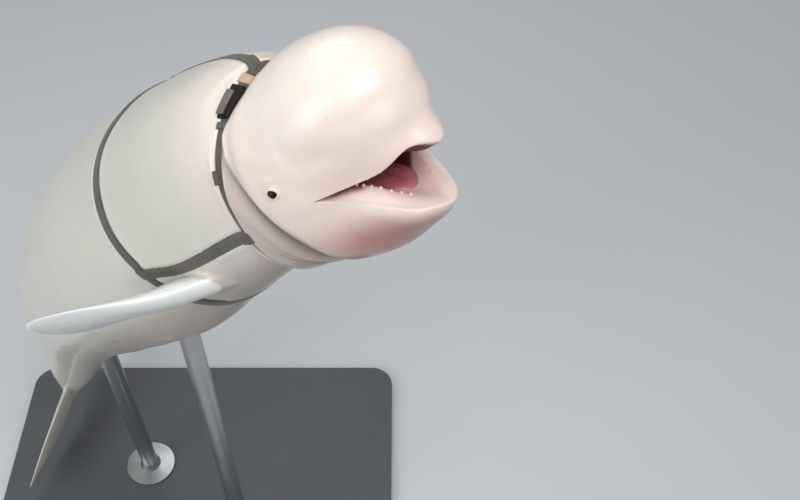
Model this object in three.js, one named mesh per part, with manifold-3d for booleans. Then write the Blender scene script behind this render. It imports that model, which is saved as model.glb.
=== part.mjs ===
import * as THREE from 'three';
import { mergeVertices } from 'three/addons/utils/BufferGeometryUtils.js';
import Module from 'manifold-3d';

const wasm = await Module();
wasm.setup();

// A life-size beluga on a stand. Millimetres, +Z up.
// The body is first described straight: x = 0 at the tip of the beak and negative towards the tail,
// y to the animal's left, z to its back. It is then bent along a spine into the standing pose.

// Clear distance between touching pieces
const GAP = 0.3;

// Named sizes of the straight animal
const BODY_LENGTH = 4200;
const NECK_STATION = 545;
const HEAD_END = 515;
const CHEST_STATION = 690;
const FLANK_STATION = 2550;
const FLUKE_STATION = 3800;
const SIDES = 40;

// Stations of the body behind the beak tip: height of back and belly over the eye line, half width
const STATIONS = [
  { at: 260, back: 205, belly: -190, half: 190 },
  { at: 560, back: 292, belly: -258, half: 242 },
  { at: 1000, back: 324, belly: -335, half: 318 },
  { at: 1550, back: 350, belly: -405, half: 375 },
  { at: 2150, back: 338, belly: -360, half: 335 },
  { at: 2750, back: 272, belly: -262, half: 240 },
  { at: 3350, back: 176, belly: -168, half: 118 },
  { at: 3750, back: 104, belly: -98, half: 62 },
  { at: 4090, back: 30, belly: -24, half: 26 },
];
const RIDGE_HEIGHT = 22;
const RIDGE_FROM = 1750;
const RIDGE_TO = 2750;

// Crease where the head meets the neck, by the angle up from the side: station, depth and half width
const CREASE = [
  { at: -90, station: 345, depth: 16, wide: 28 },
  { at: -45, station: 368, depth: 21, wide: 28 },
  { at: 0, station: 431, depth: 15, wide: 25 },
  { at: 40, station: 442, depth: 18, wide: 28 },
  { at: 65, station: 428, depth: 25, wide: 34 },
  { at: 90, station: 396, depth: 28, wide: 38 },
];

// Head forms: centre and half sizes; the jaw forms turn about the hinge by the gape
const GAPE = 15.5;
const HINGE = { x: -330, z: -55 };
const CRANIUM = { x: -385, z: 26, rx: 262, ry: 218, rz: 240 };
const MELON = { x: -206, z: 112, rx: 196, ry: 174, rz: 168 };
const BEAK = { x: -154, z: -14, rx: 154, ry: 88, rz: 60 };
const THROAT = { x: -430, z: -105, rx: 220, ry: 186, rz: 165 };
const JAW = { x: -176, z: -78, rx: 150, ry: 131, rz: 102, turn: 1.0, square: 1.8 };
const JAW_BASE = { x: -296, z: -150, rx: 184, ry: 156, rz: 106, turn: 0.8 };
const BLEND_HEAD = 74;
const BLEND_JAW = 50;

// Mouth: seen from a point between the jaw joints
const MOUTH_EYE = { x: -300, z: -50 };
const CORNER_ANGLE = 77;
const THROAT_END = { x: -300, z: -42 };
const UPPER_GUM = 9;
const PALATE_ARCH = 26;
const FLOOR_SINK = 24;
const GUM_PLACE = 0.2;

// Drop of the lower lip in degrees and rise of the gum behind it, by the angle from the front
const LOWER_LIP = [
  { at: 0, drop: 29, rise: 2 },
  { at: 10, drop: 27.5, rise: 7 },
  { at: 20, drop: 25.8, rise: 22 },
  { at: 30, drop: 20.5, rise: 29 },
  { at: 40, drop: 16.5, rise: 32 },
  { at: 52, drop: 10.3, rise: 20 },
  { at: 65, drop: 5.6, rise: 7 },
  { at: 77, drop: 0, rise: 0 },
];

// Eyes, blowhole
const EYE_STATION = 338;
const EYE_HEIGHT = 13;
const EYE_RADIUS = 18;
const EYE_OPENING = { long: 25, tall: 18 };
const BLOWHOLE_STATION = 330;

// Teeth
const TEETH_A_SIDE = 8;
const TOOTH_RADIUS = 5;
const TOOTH_LENGTH = 20;
const TOOTH_SHOWN = 6;

// Tongue: centre and half sizes
const TONGUE = { x: -212, z: -96, long: 84, wide: 62, thick: 27 };

// Pose: direction of the nose end at the head, chest, flank and tail, in degrees
const HEAD_POSE = { at: 400, yaw: -30, pitch: 36.1, roll: -7.4 };
const CHEST_POSE = { at: 900, yaw: -42, pitch: 46, roll: 16 };
const FLANK_POSE = { at: 2300, yaw: -36, pitch: 57, roll: 18 };
const TAIL_POSE = { at: 4100, yaw: -30, pitch: 73, roll: 18 };

// Fins
const FLIPPER_STATION = 835;
const FLIPPER_SPAN = 475;
const FLIPPER_CHORD = 250;
const FLIPPER_TURN = 13;
const FLUKE_HALF_SPAN = 520;

// Harness
const STRAP_LIFT = 8;
const NECK_STRAP = { at: 463, lean: 0.155, turn: 0.08, width: 24 };
const GIRTH_STRAP = { at: 990, lean: 0.05, turn: 0.0, width: 46 };
const SIDE_STRAP_WIDTH = 38;

// Stand
const BASE_SIZE = { x: 2100, y: 1700, z: 40 };
const BASE_CORNER = 120;
const ROD_RADIUS = 42;
const TAIL_CLEARANCE = 90;

const rad = (degrees) => (degrees * Math.PI) / 180;
const clamp01 = (v) => Math.min(1, Math.max(0, v));
const smooth = (v) => {
  const t = clamp01(v);
  return t * t * (3 - 2 * t);
};
const mix = (a, b, t) => a + (b - a) * t;
const V = (x, y, z) => new THREE.Vector3(x, y, z);

// Smooth curve through the rows of a table of sizes
function curveValue(rows, key, s) {
  const n = rows.length;
  if (s <= rows[0].at) return rows[0][key];
  if (s >= rows[n - 1].at) return rows[n - 1][key];
  let i = 0;
  while (s > rows[i + 1].at) i += 1;
  const slope = (j) => {
    if (j === 0 || j === n - 1) return 0;
    const before = (rows[j][key] - rows[j - 1][key]) / (rows[j].at - rows[j - 1].at);
    const after = (rows[j + 1][key] - rows[j][key]) / (rows[j + 1].at - rows[j].at);
    if (before * after <= 0) return 0;
    return (2 * before * after) / (before + after);
  };
  const a = rows[i];
  const b = rows[i + 1];
  const w = b.at - a.at;
  const t = (s - a.at) / w;
  const t2 = t * t;
  const t3 = t2 * t;
  return (2 * t3 - 3 * t2 + 1) * a[key] + (t3 - 2 * t2 + t) * w * slope(i)
    + (-2 * t3 + 3 * t2) * b[key] + (t3 - t2) * w * slope(i + 1);
}

const stationValue = (key, s) => curveValue(STATIONS, key, s);

function bodyField(x, y, z) {
  const s = -x;
  const back = stationValue('back', s);
  const belly = stationValue('belly', s);
  const half = stationValue('half', s);
  const front = clamp01((s - 190) / 370);
  const fade = Math.sqrt(Math.max(0.02, 1 - (1 - front) * (1 - front)));
  const zc = (back + belly) / 2;
  const h = ((back - belly) / 2) * fade;
  const w = half * fade;
  const dz = z - zc;
  const q = Math.pow(Math.pow(Math.abs(y) / w, 2.15) + Math.pow(Math.abs(dz) / h, 2.15), 1 / 2.15);
  const len = Math.hypot(y, dz);
  let d = len * (1 - 1 / Math.max(q, 1e-6));
  if (s < 190) d = Math.max(d, 190 - s);
  const ridge = smooth((s - RIDGE_FROM) / 300) * smooth((RIDGE_TO - s) / 500);
  if (dz > 0) d -= RIDGE_HEIGHT * ridge * Math.exp(-((y / 40) ** 2));
  return d;
}

function formField(form, x, y, z) {
  let px = x;
  let pz = z;
  let cx = form.x;
  let cz = form.z;
  if (form.turn) {
    const a = rad(GAPE * form.turn);
    const dx = x - HINGE.x;
    const dz = z - HINGE.z;
    px = HINGE.x + Math.cos(a) * dx - Math.sin(a) * dz;
    pz = HINGE.z + Math.sin(a) * dx + Math.cos(a) * dz;
  }
  const ux = px - cx;
  const uz = pz - cz;
  const e = form.square || 2;
  const flat = Math.pow(Math.pow(Math.abs(ux / form.rx), e) + Math.pow(Math.abs(y / form.ry), e), 1 / e);
  const k0 = Math.hypot(flat, uz / form.rz);
  const k1 = Math.hypot(ux / form.rx ** 2, y / form.ry ** 2, uz / form.rz ** 2);
  return (k0 * (k0 - 1)) / Math.max(k1, 1e-9);
}

function blend(a, b, k) {
  const h = Math.max(k - Math.abs(a - b), 0) / k;
  return Math.min(a, b) - (h * h * k) / 4;
}

// How far the neck crease draws the skin in
function creaseDepth(x, y, z) {
  const s = -x;
  const zc = (stationValue('back', s) + stationValue('belly', s)) / 2;
  const up = (Math.atan2(z - zc, Math.abs(y) + 1e-6) * 180) / Math.PI;
  const off = (s - curveValue(CREASE, 'station', up)) / curveValue(CREASE, 'wide', up);
  return curveValue(CREASE, 'depth', up) * Math.exp(-off * off);
}

function field(x, y, z) {
  let d = bodyField(x, y, z);
  if (x < -900) return d;
  d = blend(d, formField(CRANIUM, x, y, z), BLEND_HEAD);
  d = blend(d, formField(MELON, x, y, z), BLEND_HEAD);
  d = blend(d, formField(THROAT, x, y, z), BLEND_HEAD);
  d = blend(d, formField(JAW_BASE, x, y, z), BLEND_JAW);
  d = blend(d, formField(BEAK, x, y, z), BLEND_HEAD);
  d = blend(d, formField(JAW, x, y, z), BLEND_JAW);
  return d + creaseDepth(x, y, z);
}

// Distance from a point inside to the skin along a direction
function reach(o, dir) {
  let t = 4;
  const step = 12;
  while (t < 900 && field(o.x + dir.x * t, o.y + dir.y * t, o.z + dir.z * t) < 0) t += step;
  let lo = t - step;
  let hi = t;
  for (let i = 0; i < 18; i += 1) {
    const m = (lo + hi) / 2;
    if (field(o.x + dir.x * m, o.y + dir.y * m, o.z + dir.z * m) < 0) lo = m;
    else hi = m;
  }
  return (lo + hi) / 2;
}

function axisPoint(s) {
  const zc = (stationValue('back', s) + stationValue('belly', s)) / 2;
  return V(-s, 0, zc);
}

function skinPoint(s, theta, lift = 0) {
  const o = axisPoint(s);
  const dir = V(0, Math.cos(theta), Math.sin(theta));
  const r = reach(o, dir) + lift;
  return o.clone().addScaledVector(dir, r);
}

// Lips: theta runs from the left corner over the upper lip to the right corner and back along the lower lip.
// The angle is that of a point of the lips from the front, in degrees to the left
function lipAngle(theta) {
  const side = Math.cos(theta);
  return CORNER_ANGLE * side * (0.78 + 0.22 * side * side);
}

function lipDirection(theta) {
  const plan = lipAngle(theta);
  const arch = 5.5 * Math.exp(-(((Math.abs(plan) - 13) / 9) ** 2));
  const drop = curveValue(LOWER_LIP, 'drop', Math.abs(plan));
  const lift = Math.sin(theta) >= 0 ? 4.2 + arch : 3.5 - drop;
  return V(Math.cos(rad(lift)) * Math.cos(rad(plan)), Math.cos(rad(lift)) * Math.sin(rad(plan)), Math.sin(rad(lift)));
}

const mouthEye = V(MOUTH_EYE.x, 0, MOUTH_EYE.z);

function lipPoint(theta) {
  const dir = lipDirection(theta);
  return mouthEye.clone().addScaledVector(dir, reach(mouthEye, dir));
}

function mouthPoint(theta, u) {
  const lip = lipPoint(theta);
  const end = V(THROAT_END.x, 0, THROAT_END.z);
  const p = lip.lerp(end, u);
  const wide = Math.abs(Math.sin(theta));
  const gum = smooth(u / GUM_PLACE) * (1 - smooth((u - GUM_PLACE) / 0.13));
  const hollow = smooth((u - GUM_PLACE) / 0.16) * smooth((1 - u) / 0.4) * wide;
  const rise = curveValue(LOWER_LIP, 'rise', Math.abs(lipAngle(theta)));
  p.z += Math.sin(theta) >= 0
    ? PALATE_ARCH * hollow - UPPER_GUM * gum * wide
    : rise * gum - FLOOR_SINK * hollow;
  return p;
}

function headPoint(theta, v) {
  const o = mouthEye.clone().lerp(axisPoint(HEAD_END), smooth(v));
  const lip = lipDirection(theta);
  const across = V(0, Math.cos(theta), Math.sin(theta));
  const w = Math.pow(v, 1.15);
  const dir = lip.multiplyScalar(1 - w).addScaledVector(across, w).normalize();
  return o.clone().addScaledVector(dir, reach(o, dir));
}

// The spine: yaw, pitch and roll along the animal, and the line they give
const POSES = [HEAD_POSE, CHEST_POSE, FLANK_POSE, TAIL_POSE];

function poseValue(key, s) {
  if (s <= POSES[0].at) return POSES[0][key];
  let i = 0;
  while (i < POSES.length - 2 && s > POSES[i + 1].at) i += 1;
  const a = POSES[i];
  const b = POSES[i + 1];
  const t = clamp01((s - a.at) / (b.at - a.at));
  const ease = i === 0 ? smooth(t) : t;
  return mix(a[key], b[key], ease);
}

function frameAt(s) {
  const yaw = rad(poseValue('yaw', s));
  const pitch = rad(poseValue('pitch', s));
  const roll = rad(poseValue('roll', s));
  const nose = V(Math.cos(pitch) * Math.cos(yaw), Math.cos(pitch) * Math.sin(yaw), Math.sin(pitch));
  const up = V(-Math.sin(pitch) * Math.cos(yaw), -Math.sin(pitch) * Math.sin(yaw), Math.cos(pitch));
  const left = V(-Math.sin(yaw), Math.cos(yaw), 0);
  return {
    nose,
    left: left.clone().multiplyScalar(Math.cos(roll)).addScaledVector(up, Math.sin(roll)),
    up: up.clone().multiplyScalar(Math.cos(roll)).addScaledVector(left, -Math.sin(roll)),
  };
}

const SPINE_STEP = 10;
const spine = [];
{
  let centre = V(0, 0, 0).addScaledVector(frameAt(0).nose, -HEAD_POSE.at);
  for (let s = HEAD_POSE.at; s <= BODY_LENGTH + 300; s += SPINE_STEP) {
    const f = frameAt(s);
    spine.push({ s, centre: centre.clone(), ...f });
    centre = centre.clone().addScaledVector(frameAt(s + SPINE_STEP / 2).nose, -SPINE_STEP);
  }
}

function bend(p) {
  const s = -p.x;
  if (s <= HEAD_POSE.at) {
    const f = spine[0];
    return f.centre.clone().addScaledVector(f.nose, p.x + HEAD_POSE.at).addScaledVector(f.left, p.y).addScaledVector(f.up, p.z);
  }
  const k = Math.min(spine.length - 2, Math.floor((s - HEAD_POSE.at) / SPINE_STEP));
  const a = spine[k];
  const b = spine[k + 1];
  const t = (s - a.s) / SPINE_STEP;
  const out = a.centre.clone().lerp(b.centre, t);
  const left = a.left.clone().lerp(b.left, t).normalize();
  const up = a.up.clone().lerp(b.up, t).normalize();
  return out.addScaledVector(left, p.y).addScaledVector(up, p.z);
}

// Closed surface from rings, with a point or a flat fan at each end
function ringSolid(rings, startPoint, endPoint) {
  const n = rings[0].length;
  const points = [];
  const faces = [];
  rings.forEach((ring) => ring.forEach((p) => points.push(p)));
  for (let r = 0; r + 1 < rings.length; r += 1) {
    for (let c = 0; c < n; c += 1) {
      const a = r * n + c;
      const b = r * n + ((c + 1) % n);
      const d = (r + 1) * n + c;
      const e = (r + 1) * n + ((c + 1) % n);
      faces.push([a, b, e], [a, e, d]);
    }
  }
  const first = points.length;
  points.push(startPoint, endPoint);
  const last = (rings.length - 1) * n;
  for (let c = 0; c < n; c += 1) {
    faces.push([first, (c + 1) % n, c]);
    faces.push([first + 1, last + c, last + ((c + 1) % n)]);
  }
  return { points, faces };
}

// Closed ring of sections, such as a belt
function loopSolid(sections) {
  const n = sections[0].length;
  const m = sections.length;
  const points = sections.flat();
  const faces = [];
  for (let r = 0; r < m; r += 1) {
    for (let c = 0; c < n; c += 1) {
      const a = r * n + c;
      const b = r * n + ((c + 1) % n);
      const d = ((r + 1) % m) * n + c;
      const e = ((r + 1) % m) * n + ((c + 1) % n);
      faces.push([a, b, e], [a, e, d]);
    }
  }
  return { points, faces };
}

function signedVolume(shape) {
  let v = 0;
  const c = new THREE.Vector3();
  for (const [a, b, d] of shape.faces) {
    c.crossVectors(shape.points[b], shape.points[d]);
    v += shape.points[a].dot(c);
  }
  return v / 6;
}

function toManifold(shape) {
  const flip = signedVolume(shape) < 0;
  const vertProperties = new Float32Array(shape.points.length * 3);
  shape.points.forEach((p, i) => vertProperties.set([p.x, p.y, p.z], i * 3));
  const triVerts = new Uint32Array(shape.faces.length * 3);
  shape.faces.forEach(([a, b, c], i) => triVerts.set(flip ? [a, c, b] : [a, b, c], i * 3));
  return new wasm.Manifold(new wasm.Mesh({ numProp: 3, vertProperties, triVerts }));
}

function geometrySolid(geometry, place) {
  const g = geometry.clone();
  g.deleteAttribute('normal');
  g.deleteAttribute('uv');
  const m = mergeVertices(g, 1e-4);
  const pos = m.getAttribute('position');
  const points = [];
  for (let i = 0; i < pos.count; i += 1) {
    const p = new THREE.Vector3().fromBufferAttribute(pos, i);
    points.push(place ? place(p) : p);
  }
  const faces = [];
  const idx = m.getIndex();
  for (let i = 0; i < idx.count; i += 3) {
    const f = [idx.getX(i), idx.getX(i + 1), idx.getX(i + 2)];
    if (f[0] !== f[1] && f[1] !== f[2] && f[0] !== f[2]) faces.push(f);
  }
  return toManifold({ points, faces });
}

function largest(m) {
  const parts = m.decompose();
  return parts.reduce((best, p) => (p.volume() > best.volume() ? p : best), parts[0]);
}

function grow(shape, amount) {
  const flip = signedVolume(shape) < 0 ? -1 : 1;
  const normals = shape.points.map(() => V(0, 0, 0));
  const ab = V(0, 0, 0);
  const ac = V(0, 0, 0);
  for (const [a, b, c] of shape.faces) {
    ab.subVectors(shape.points[b], shape.points[a]);
    ac.subVectors(shape.points[c], shape.points[a]);
    const n = ab.cross(ac);
    normals[a].add(n);
    normals[b].add(n);
    normals[c].add(n);
  }
  const points = shape.points.map((p, i) => p.clone().addScaledVector(normals[i].normalize(), amount * flip));
  return { points, faces: shape.faces };
}

// The whole skin, from the back of the mouth over the lips to the tail
function skinRings() {
  const thetas = [];
  for (let c = 0; c < SIDES; c += 1) thetas.push((2 * Math.PI * (c + 0.5)) / SIDES);
  const rings = [];
  for (const u of [0.9, 0.7, 0.52, 0.42, 0.35, 0.3, 0.25, 0.19, 0.12, 0.05]) rings.push(thetas.map((t) => mouthPoint(t, u)));
  rings.push(thetas.map((t) => lipPoint(t)));
  const headRows = 25;
  for (let i = 1; i <= headRows; i += 1) rings.push(thetas.map((t) => headPoint(t, Math.pow(i / headRows, 1.1))));
  for (const s of [570, 630, 700, 780, 870, 955, 1025, 1120]) rings.push(thetas.map((t) => skinPoint(s, t)));
  for (let s = 1250; s < 4000; s += 165) rings.push(thetas.map((t) => skinPoint(s, t)));
  rings.push(thetas.map((t) => skinPoint(4060, t)));
  return rings;
}

const skinShape = ringSolid(
  skinRings().map((ring) => ring.map(bend)),
  bend(V(THROAT_END.x, 0, THROAT_END.z)),
  bend(V(-4085, 0, axisPoint(4085).z)),
);
const skin = toManifold(skinShape);
const skinGrown = toManifold(grow(skinShape, GAP + 0.15));

// Flipper: sections along the span, the blade flat and its tip turned up
function flipperShape(side, inset) {
  const rings = [];
  const rows = 13;
  const count = 14;
  for (let i = 0; i <= rows; i += 1) {
    const t = i / rows;
    const out = -inset + (FLIPPER_SPAN + inset) * t;
    const along = clamp01(out / FLIPPER_SPAN);
    const tip = Math.sqrt(Math.max(0.0, 1 - Math.pow(along, 5)));
    const chord = FLIPPER_CHORD * mix(0.72, 1, smooth(along / 0.5)) * Math.max(tip, 0.12);
    const thick = mix(78, 16, smooth(along / 0.95)) * Math.max(Math.sqrt(tip), 0.3);
    const sweep = -60 * along - 40 * along * along;
    const curl = 55 * along ** 3;
    const turn = rad(FLIPPER_TURN) * smooth((along - 0.2) / 0.6);
    const ring = [];
    for (let c = 0; c < count; c += 1) {
      const a = (2 * Math.PI * c) / count;
      const cx = Math.cos(a);
      const thin = 1 - 0.35 * clamp01(-cx);
      const x = (chord / 2) * cx;
      const z = (thick / 2) * Math.sin(a) * thin;
      ring.push(V(sweep + x * Math.cos(turn) - z * Math.sin(turn), out, curl + x * Math.sin(turn) + z * Math.cos(turn)));
    }
    rings.push(ring);
  }
  const place = flipperPlace(side);
  const shape = ringSolid(rings.map((r) => r.map(place)), place(V(0, -inset, 0)), place(V(-98, FLIPPER_SPAN + 2, 55)));
  return shape;
}

// Directions of each flipper in the frame of the chest: out, forward, up
const FLIPPER_AIM = {
  right: { forward: -0.3, down: -0.62, twist: 6 },
  left: { forward: -0.3, down: 0.3, twist: 8 },
};

function flipperPlace(side) {
  const aim = FLIPPER_AIM[side];
  const sign = side === 'left' ? 1 : -1;
  const out = V(aim.forward, sign, -aim.down).normalize();
  const fore = V(1, 0, 0).addScaledVector(out, -out.x).normalize();
  const over = new THREE.Vector3().crossVectors(fore, out).multiplyScalar(sign).normalize();
  const tw = rad(aim.twist);
  const foreT = fore.clone().multiplyScalar(Math.cos(tw)).addScaledVector(over, Math.sin(tw));
  const overT = over.clone().multiplyScalar(Math.cos(tw)).addScaledVector(fore, -Math.sin(tw));
  const f = frameAt(FLIPPER_STATION);
  const root = bend(skinPoint(FLIPPER_STATION, side === 'left' ? rad(-25) : rad(205)));
  const turn = (v) => V(0, 0, 0).addScaledVector(f.nose, v.x).addScaledVector(f.left, v.y).addScaledVector(f.up, v.z);
  const X = turn(foreT);
  const Y = turn(out);
  const Z = turn(overT);
  return (p) => root.clone().addScaledVector(X, p.x).addScaledVector(Y, p.y).addScaledVector(Z, p.z);
}

// Flukes: one blade from tip to tip, swept back, with a notch in the middle
function flukeShape() {
  const rings = [];
  const rows = 26;
  const count = 14;
  for (let i = 0; i <= rows; i += 1) {
    const t = -1 + (2 * i) / rows;
    const a = Math.abs(t);
    const y = FLUKE_HALF_SPAN * t;
    const lead = mix(-3775, -4120, Math.pow(a, 1.15)) - 25 * Math.pow(a, 6);
    const trail = -4165 - 70 * Math.sin(Math.PI * Math.pow(a, 0.75)) - 10 * a + 45 * Math.exp(-((a / 0.07) ** 2));
    const tip = Math.sqrt(Math.max(0, 1 - Math.pow(a, 8)));
    const half = Math.max(((lead - trail) / 2) * Math.max(tip, 0.16), 6);
    const mid = (lead + trail) / 2;
    const thick = mix(62, 14, Math.pow(a, 0.7)) * Math.max(tip, 0.4);
    const ring = [];
    for (let c = 0; c < count; c += 1) {
      const b = (2 * Math.PI * c) / count;
      const cx = Math.cos(b);
      const thin = 1 - 0.55 * clamp01(-cx);
      ring.push(bend(V(mid + half * cx, y, axisPoint(4090).z + 12 * a * a + (thick / 2) * Math.sin(b) * thin)));
    }
    rings.push(ring);
  }
  const mid = (r) => r.reduce((q, p) => q.add(p), V(0, 0, 0)).multiplyScalar(1 / r.length);
  return ringSolid(rings, mid(rings[0]), mid(rings[rings.length - 1]));
}

// A flat cutting sheet across the straight animal at a station
function sheetAcross(s, size, yFrom = -size, yTo = size) {
  const box = new THREE.BoxGeometry(GAP, yTo - yFrom, 2 * size);
  const f = frameAt(s);
  const centre = bend(V(-s, 0, 0));
  return geometrySolid(box, (p) => centre.clone().addScaledVector(f.nose, p.x)
    .addScaledVector(f.left, p.y + (yFrom + yTo) / 2).addScaledVector(f.up, p.z));
}

// Prism across the head through points of its side view
function headPrism(points2, halfWidth) {
  const shape = new THREE.Shape(points2.map((p) => new THREE.Vector2(p.x, p.z)));
  const g = new THREE.ExtrudeGeometry(shape, { depth: 2 * halfWidth, bevelEnabled: false, steps: 1 });
  return geometrySolid(g, (p) => bend(V(p.x, halfWidth - p.z, p.y)));
}


// Lower jaw region: along the middle of the mouth gap, then down behind the chin
function jawOutline(offset) {
  const line = [];
  for (const degrees of [90, 60, 45, 34, 26, 19, 13, 8, 4]) {
    const a = lipPoint(rad(degrees));
    const b = lipPoint(rad(-degrees));
    line.push({ x: (a.x + b.x) / 2, z: (a.z + b.z) / 2 });
  }
  const corner = line[line.length - 1];
  const front = { x: 120, z: line[0].z };
  const under = { x: corner.x - 150, z: -380 };
  return [front, ...line, { x: corner.x - 6, z: corner.z - 1 }, under, { x: 120, z: -480 }]
    .map((p, i, all) => {
      const last = i >= all.length - 2;
      const behind = i === all.length - 2;
      return { x: p.x - (last && !behind ? 0 : offset * (i >= 9 ? 1 : 0)), z: p.z + (last ? 0 : offset * (i < 10 ? 1 : 0)) };
    });
}

const flippers = {};
const stubs = {};
for (const side of ['left', 'right']) {
  const full = toManifold(flipperShape(side, 90));
  const place = flipperPlace(side);
  const cutAt = 26;
  const slab = (from, to) => geometrySolid(new THREE.BoxGeometry(900, to - from, 600), (p) => place(V(p.x, p.y + (from + to) / 2, p.z)));
  flippers[side] = full.intersect(slab(cutAt + GAP, 900)).subtract(skinGrown);
  stubs[side] = full.intersect(slab(-300, cutAt));
}

const flukes = toManifold(flukeShape());
let whole = skin.add(flukes).add(stubs.left).add(stubs.right);

const material = (color, roughness = 0.7, metalness = 0) => new THREE.MeshStandardMaterial({ color, roughness, metalness });
const group = new THREE.Group();
group.name = 'beluga_on_stand';
const made = [];

function addNode(name, manifold, mat) {
  const m = largest(manifold).getMesh();
  const g = new THREE.BufferGeometry();
  const n = m.numProp;
  const pos = new Float32Array((m.vertProperties.length / n) * 3);
  for (let i = 0; i < pos.length / 3; i += 1) {
    pos[3 * i] = m.vertProperties[i * n];
    pos[3 * i + 1] = m.vertProperties[i * n + 1];
    pos[3 * i + 2] = m.vertProperties[i * n + 2];
  }
  g.setAttribute('position', new THREE.BufferAttribute(pos, 3));
  g.setIndex(new THREE.BufferAttribute(new Uint32Array(m.triVerts), 1));
  g.computeVertexNormals();
  const mesh = new THREE.Mesh(g, mat);
  mesh.name = name;
  made.push(mesh);
  group.add(mesh);
}

// Eyes: a ball in a socket behind a lidded opening
const eyes = {};
for (const side of ['left', 'right']) {
  const sign = side === 'left' ? 1 : -1;
  const o = V(-EYE_STATION, 0, EYE_HEIGHT);
  const dir = V(0, sign, 0);
  const surface = o.clone().addScaledVector(dir, reach(o, dir));
  const e = 6;
  const gx = field(surface.x + e, surface.y, surface.z) - field(surface.x - e, surface.y, surface.z);
  const gy = field(surface.x, surface.y + e, surface.z) - field(surface.x, surface.y - e, surface.z);
  const gz = field(surface.x, surface.y, surface.z + e) - field(surface.x, surface.y, surface.z - e);
  const normal = V(gx, gy, gz).normalize();
  const along = V(1, 0, 0).addScaledVector(normal, -normal.x).normalize();
  const tall = new THREE.Vector3().crossVectors(normal, along).multiplyScalar(sign).normalize();
  const at = (p) => bend(surface.clone().addScaledVector(along, p.x).addScaledVector(tall, p.y).addScaledVector(normal, p.z));
  const ball = (radius) => geometrySolid(new THREE.SphereGeometry(radius, 12, 9), (p) => at(V(p.x, p.y, p.z - EYE_RADIUS + 5)));
  const mound = geometrySolid(new THREE.SphereGeometry(1, 14, 8), (p) => at(V(p.x * 30, p.y * 22, p.z * 9 - 4.5)));
  const mouth = geometrySolid(
    new THREE.CylinderGeometry(1, 0.8, 34, 14, 1),
    (p) => at(V((p.x * EYE_OPENING.long) / 2, (p.z * EYE_OPENING.tall) / 2, p.y + 4)),
  );
  eyes[side] = ball(EYE_RADIUS);
  whole = whole.add(mound).subtract(ball(EYE_RADIUS + GAP)).subtract(mouth);
}

// Blowhole: a crescent groove on the crown
{
  const top = skinPoint(BLOWHOLE_STATION, Math.PI / 2);
  const arc = rad(150);
  const torus = new THREE.TorusGeometry(30, 6, 6, 12, arc);
  whole = whole.subtract(geometrySolid(capped(torus, arc), (p) => bend(V(top.x - 22 + p.y, p.x, top.z - 1 + p.z))));
}

// Closes the two open ends of an arc of tube
function capped(torus, arc) {
  torus.deleteAttribute('normal');
  torus.deleteAttribute('uv');
  const t = mergeVertices(torus, 1e-4);
  const pos = Array.from(t.getAttribute('position').array);
  const idx = Array.from(t.getIndex().array);
  const { radius, radialSegments, tubularSegments } = torus.parameters;
  const per = radialSegments;
  const find = (ux, uy, uz) => {
    let best = 0;
    let far = Infinity;
    for (let i = 0; i < pos.length / 3; i += 1) {
      const d = Math.hypot(pos[3 * i] - ux, pos[3 * i + 1] - uy, pos[3 * i + 2] - uz);
      if (d < far) {
        far = d;
        best = i;
      }
    }
    return best;
  };
  for (const end of [0, 1]) {
    const a = end * arc;
    const c = pos.length / 3;
    pos.push(radius * Math.cos(a), radius * Math.sin(a), 0);
    const ring = [];
    for (let j = 0; j < per; j += 1) {
      const b = (2 * Math.PI * j) / per;
      const rr = radius + torus.parameters.tube * Math.cos(b);
      ring.push(find(rr * Math.cos(a), rr * Math.sin(a), torus.parameters.tube * Math.sin(b)));
    }
    for (let j = 0; j < per; j += 1) {
      const p = ring[j];
      const q = ring[(j + 1) % per];
      if (end === 0) idx.push(c, p, q);
      else idx.push(c, q, p);
    }
  }
  const g = new THREE.BufferGeometry();
  g.setAttribute('position', new THREE.Float32BufferAttribute(pos, 3));
  g.setIndex(idx);
  return g;
}

// Teeth, joined to the jaws
function tooth(theta, upper) {
  const seat = mouthPoint(theta, GUM_PLACE * 0.95);
  const lean = rad(upper ? 0 : GAPE);
  const axis = upper ? V(0.05, 0, -1) : V(Math.sin(lean), 0, Math.cos(lean));
  axis.normalize();
  const profile = [
    new THREE.Vector2(0, -(TOOTH_LENGTH - TOOTH_SHOWN)),
    new THREE.Vector2(TOOTH_RADIUS, -(TOOTH_LENGTH - TOOTH_SHOWN)),
    new THREE.Vector2(TOOTH_RADIUS * 0.8, TOOTH_SHOWN * 0.7),
    new THREE.Vector2(0, TOOTH_SHOWN),
  ];
  const q = new THREE.Quaternion().setFromUnitVectors(V(0, 1, 0), axis);
  return geometrySolid(new THREE.LatheGeometry(profile, 5), (p) => bend(p.applyQuaternion(q).add(seat)));
}

let upperTeeth = null;
let lowerTeeth = null;
for (const sideSign of [1, -1]) {
  for (let i = 0; i < TEETH_A_SIDE; i += 1) {
    const off = mix(80, 57, i / (TEETH_A_SIDE - 1));
    const theta = sideSign > 0 ? rad(off) : Math.PI - rad(off);
    const a = tooth(theta, true);
    const b = tooth(-theta, false);
    upperTeeth = upperTeeth ? upperTeeth.add(a) : a;
    lowerTeeth = lowerTeeth ? lowerTeeth.add(b) : b;
  }
}

const jawRegion = headPrism(jawOutline(0), 400);
const jawGrown = headPrism(jawOutline(GAP), 400);
const headSheet = sheetAcross(NECK_STATION, 500);
const chestSheet = sheetAcross(CHEST_STATION, 420);
const flankSheet = sheetAcross(FLANK_STATION, 600);
const flukeSheet = sheetAcross(FLUKE_STATION, 260);

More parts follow.
